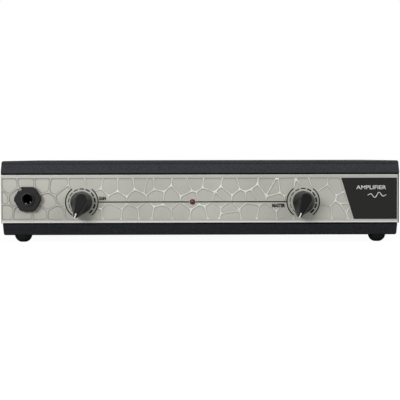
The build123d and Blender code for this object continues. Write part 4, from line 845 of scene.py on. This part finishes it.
LETTER_WEIGHT = 0.055
word("gain_word", "GAIN", GAIN_WORD, INK_FACE, INK_BACK, ink, "knob_plastic", LETTER_WEIGHT)
word("master_word", "MASTER", MASTER_WORD, INK_FACE, INK_BACK, ink, "knob_plastic", LETTER_WEIGHT)
print("letters", round((GAIN_WORD[3] - GAIN_WORD[1]) / MM, 1), "mm high")

# %% [markdown]
# ## Small details of the front
# The pilot light sits in a dark red collar. A paler arc over the upper part of the jack's mouth is a
# painted highlight, where the bushing's countersink catches the light, and the tips of two contact springs
# show at the lower edge of its bore.

# %% Collar, painted highlight arc and contact tips
COLLAR_RADIUS, COLLAR_WIDTH = 1.72 * MM, 0.42 * MM
RING_RADIUS, RING_WIDTH, RING_FROM, RING_TO = 4.1 * MM, 0.55 * MM, -120, 40
RING_PROUD, RING_SUNK = 0.05 * MM, 0.02 * MM
TIP_ANGLES = (-107.0, -45.0)
TIP_PLACE, TIP_SUNK, TIP_RADIUS, TIP_LENGTH = 3.05 * MM, 1.6 * MM, 0.42 * MM, 2.4 * MM

collar_red = finish("red collar", "3a0f12", "4a1418", 0.5, 0.004, (0.3, 0.4))
collar = arc_slab(LAMP, COLLAR_RADIUS, COLLAR_WIDTH, 0, 359.9)
make_object("lamp_collar", *collar, collar_red, "red_lens")
# Painted highlight: a paler arc over the upper side of the jack's mouth, where its countersink catches the
# light.
mouth_highlight = finish("painted mouth highlight", "2c2c33", "36363e", 0.5, 0.004, (0.3, 0.4), shine=0.5)
bushing_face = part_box("input_jack_body")[0][1]
ring_layer = (bushing_face - RING_PROUD, bushing_face + RING_SUNK)
bushing_highlight_arc = arc_slab(JACK, RING_RADIUS, RING_WIDTH, RING_FROM, RING_TO, *ring_layer)
make_object("bushing_highlight_arc", *bushing_highlight_arc, mouth_highlight, "black_plastic")
tips = []
for turn in map(math.radians, TIP_ANGLES):
    x, z = JACK.x + TIP_PLACE * math.cos(turn), JACK.z + TIP_PLACE * math.sin(turn)
    tips.append(rod(Vector((x, bushing_face + TIP_SUNK, z)), TIP_RADIUS, TIP_LENGTH))
make_object("contact_tips", *joined(tips), SURFACES["plated_metal"], "plated_metal")
print(len(tips), "contact tips")

# %% [markdown]
# ## The badge
# The badge carries a plain descriptive word and a small wave, printed in pale silver.

# %% Badge printing
silver_ink = finish("silver ink", "c9c9c4", "dadad5", 0.5, 0.004, (0.4, 0.5), metallic=0.2)
BADGE_INK = badge_low.y - 0.04 * MM
BADGE_BACK = badge_low.y + 0.02 * MM
badge_edge = badge_high.x - 7.5 * MM
badge_box = (badge_edge - 21 * MM, badge_high.z - 8.0 * MM, badge_edge, badge_high.z - 5.3 * MM)
word("badge_word", "AMPLIFIER", badge_box, BADGE_INK, BADGE_BACK, silver_ink, "panel_metal", 0.015)

WAVE_LENGTH, WAVE_HEIGHT, WAVE_STROKE, WAVE_STEPS = 13 * MM, 1.9 * MM, 0.5 * MM, 48
wave_z = badge_high.z - 12.0 * MM
wave_top, wave_bottom = [], []
for k in range(WAVE_STEPS + 1):
    t = k / WAVE_STEPS
    x = badge_edge + WAVE_LENGTH * (t - 1)
    swell = math.sin(math.pi * t)
    z = wave_z + WAVE_HEIGHT * math.sin(2 * math.tau * t) * swell
    steep = 2 * math.tau * WAVE_HEIGHT / WAVE_LENGTH * math.cos(2 * math.tau * t) * swell
    half = WAVE_STROKE / 2 * math.hypot(1, steep)
    wave_top.append((x, z + half))
    wave_bottom.append((x, z - half))
wave = slab(wave_top, wave_bottom, BADGE_INK, BADGE_BACK)
make_object("badge_wave", *wave, silver_ink, "panel_metal")
print("wave of", len(wave_top), "points")

# %% [markdown]
# ## Pointer lines
# Each knob has a white line let into the tip of its pointer. It rides on the knob's own body, so it
# turns with it.

# %% Pointer lines
KNOB_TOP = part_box("gain_knob")[0][1]
POINTER_START = math.radians(160.0)
POINTER_REACH = 11.3 * MM
INDEX_LENGTH = 3.4 * MM
INDEX_WIDTH = 0.85 * MM
INDEX_FACE, INDEX_BACK = KNOB_TOP + 0.05 * MM, KNOB_TOP + 0.4 * MM
INDEX_INSET = 0.1 * MM
white_paint = finish("white paint", "d9d9d6", "e6e6e3", 0.5, 0.004, (0.5, 0.6))
along = Vector((-math.sin(POINTER_START), math.cos(POINTER_START)))
across = Vector((along.y, -along.x)) * INDEX_WIDTH / 2
for name, spot in (("gain", GAIN), ("master", MASTER)):
    tip = Vector((spot.x, spot.z)) + along * (POINTER_REACH - INDEX_INSET)
    rows = [[tuple(tip + side * across - along * back) for back in (0, INDEX_LENGTH)] for side in (-1, 1)]
    line = slab(*rows, INDEX_FACE, INDEX_BACK)
    make_object(name + "_pointer_line", *line, white_paint, "panel_metal", name + "_dial")


print("pointers start at", round(math.degrees(POINTER_START)), "degrees anticlockwise from up")
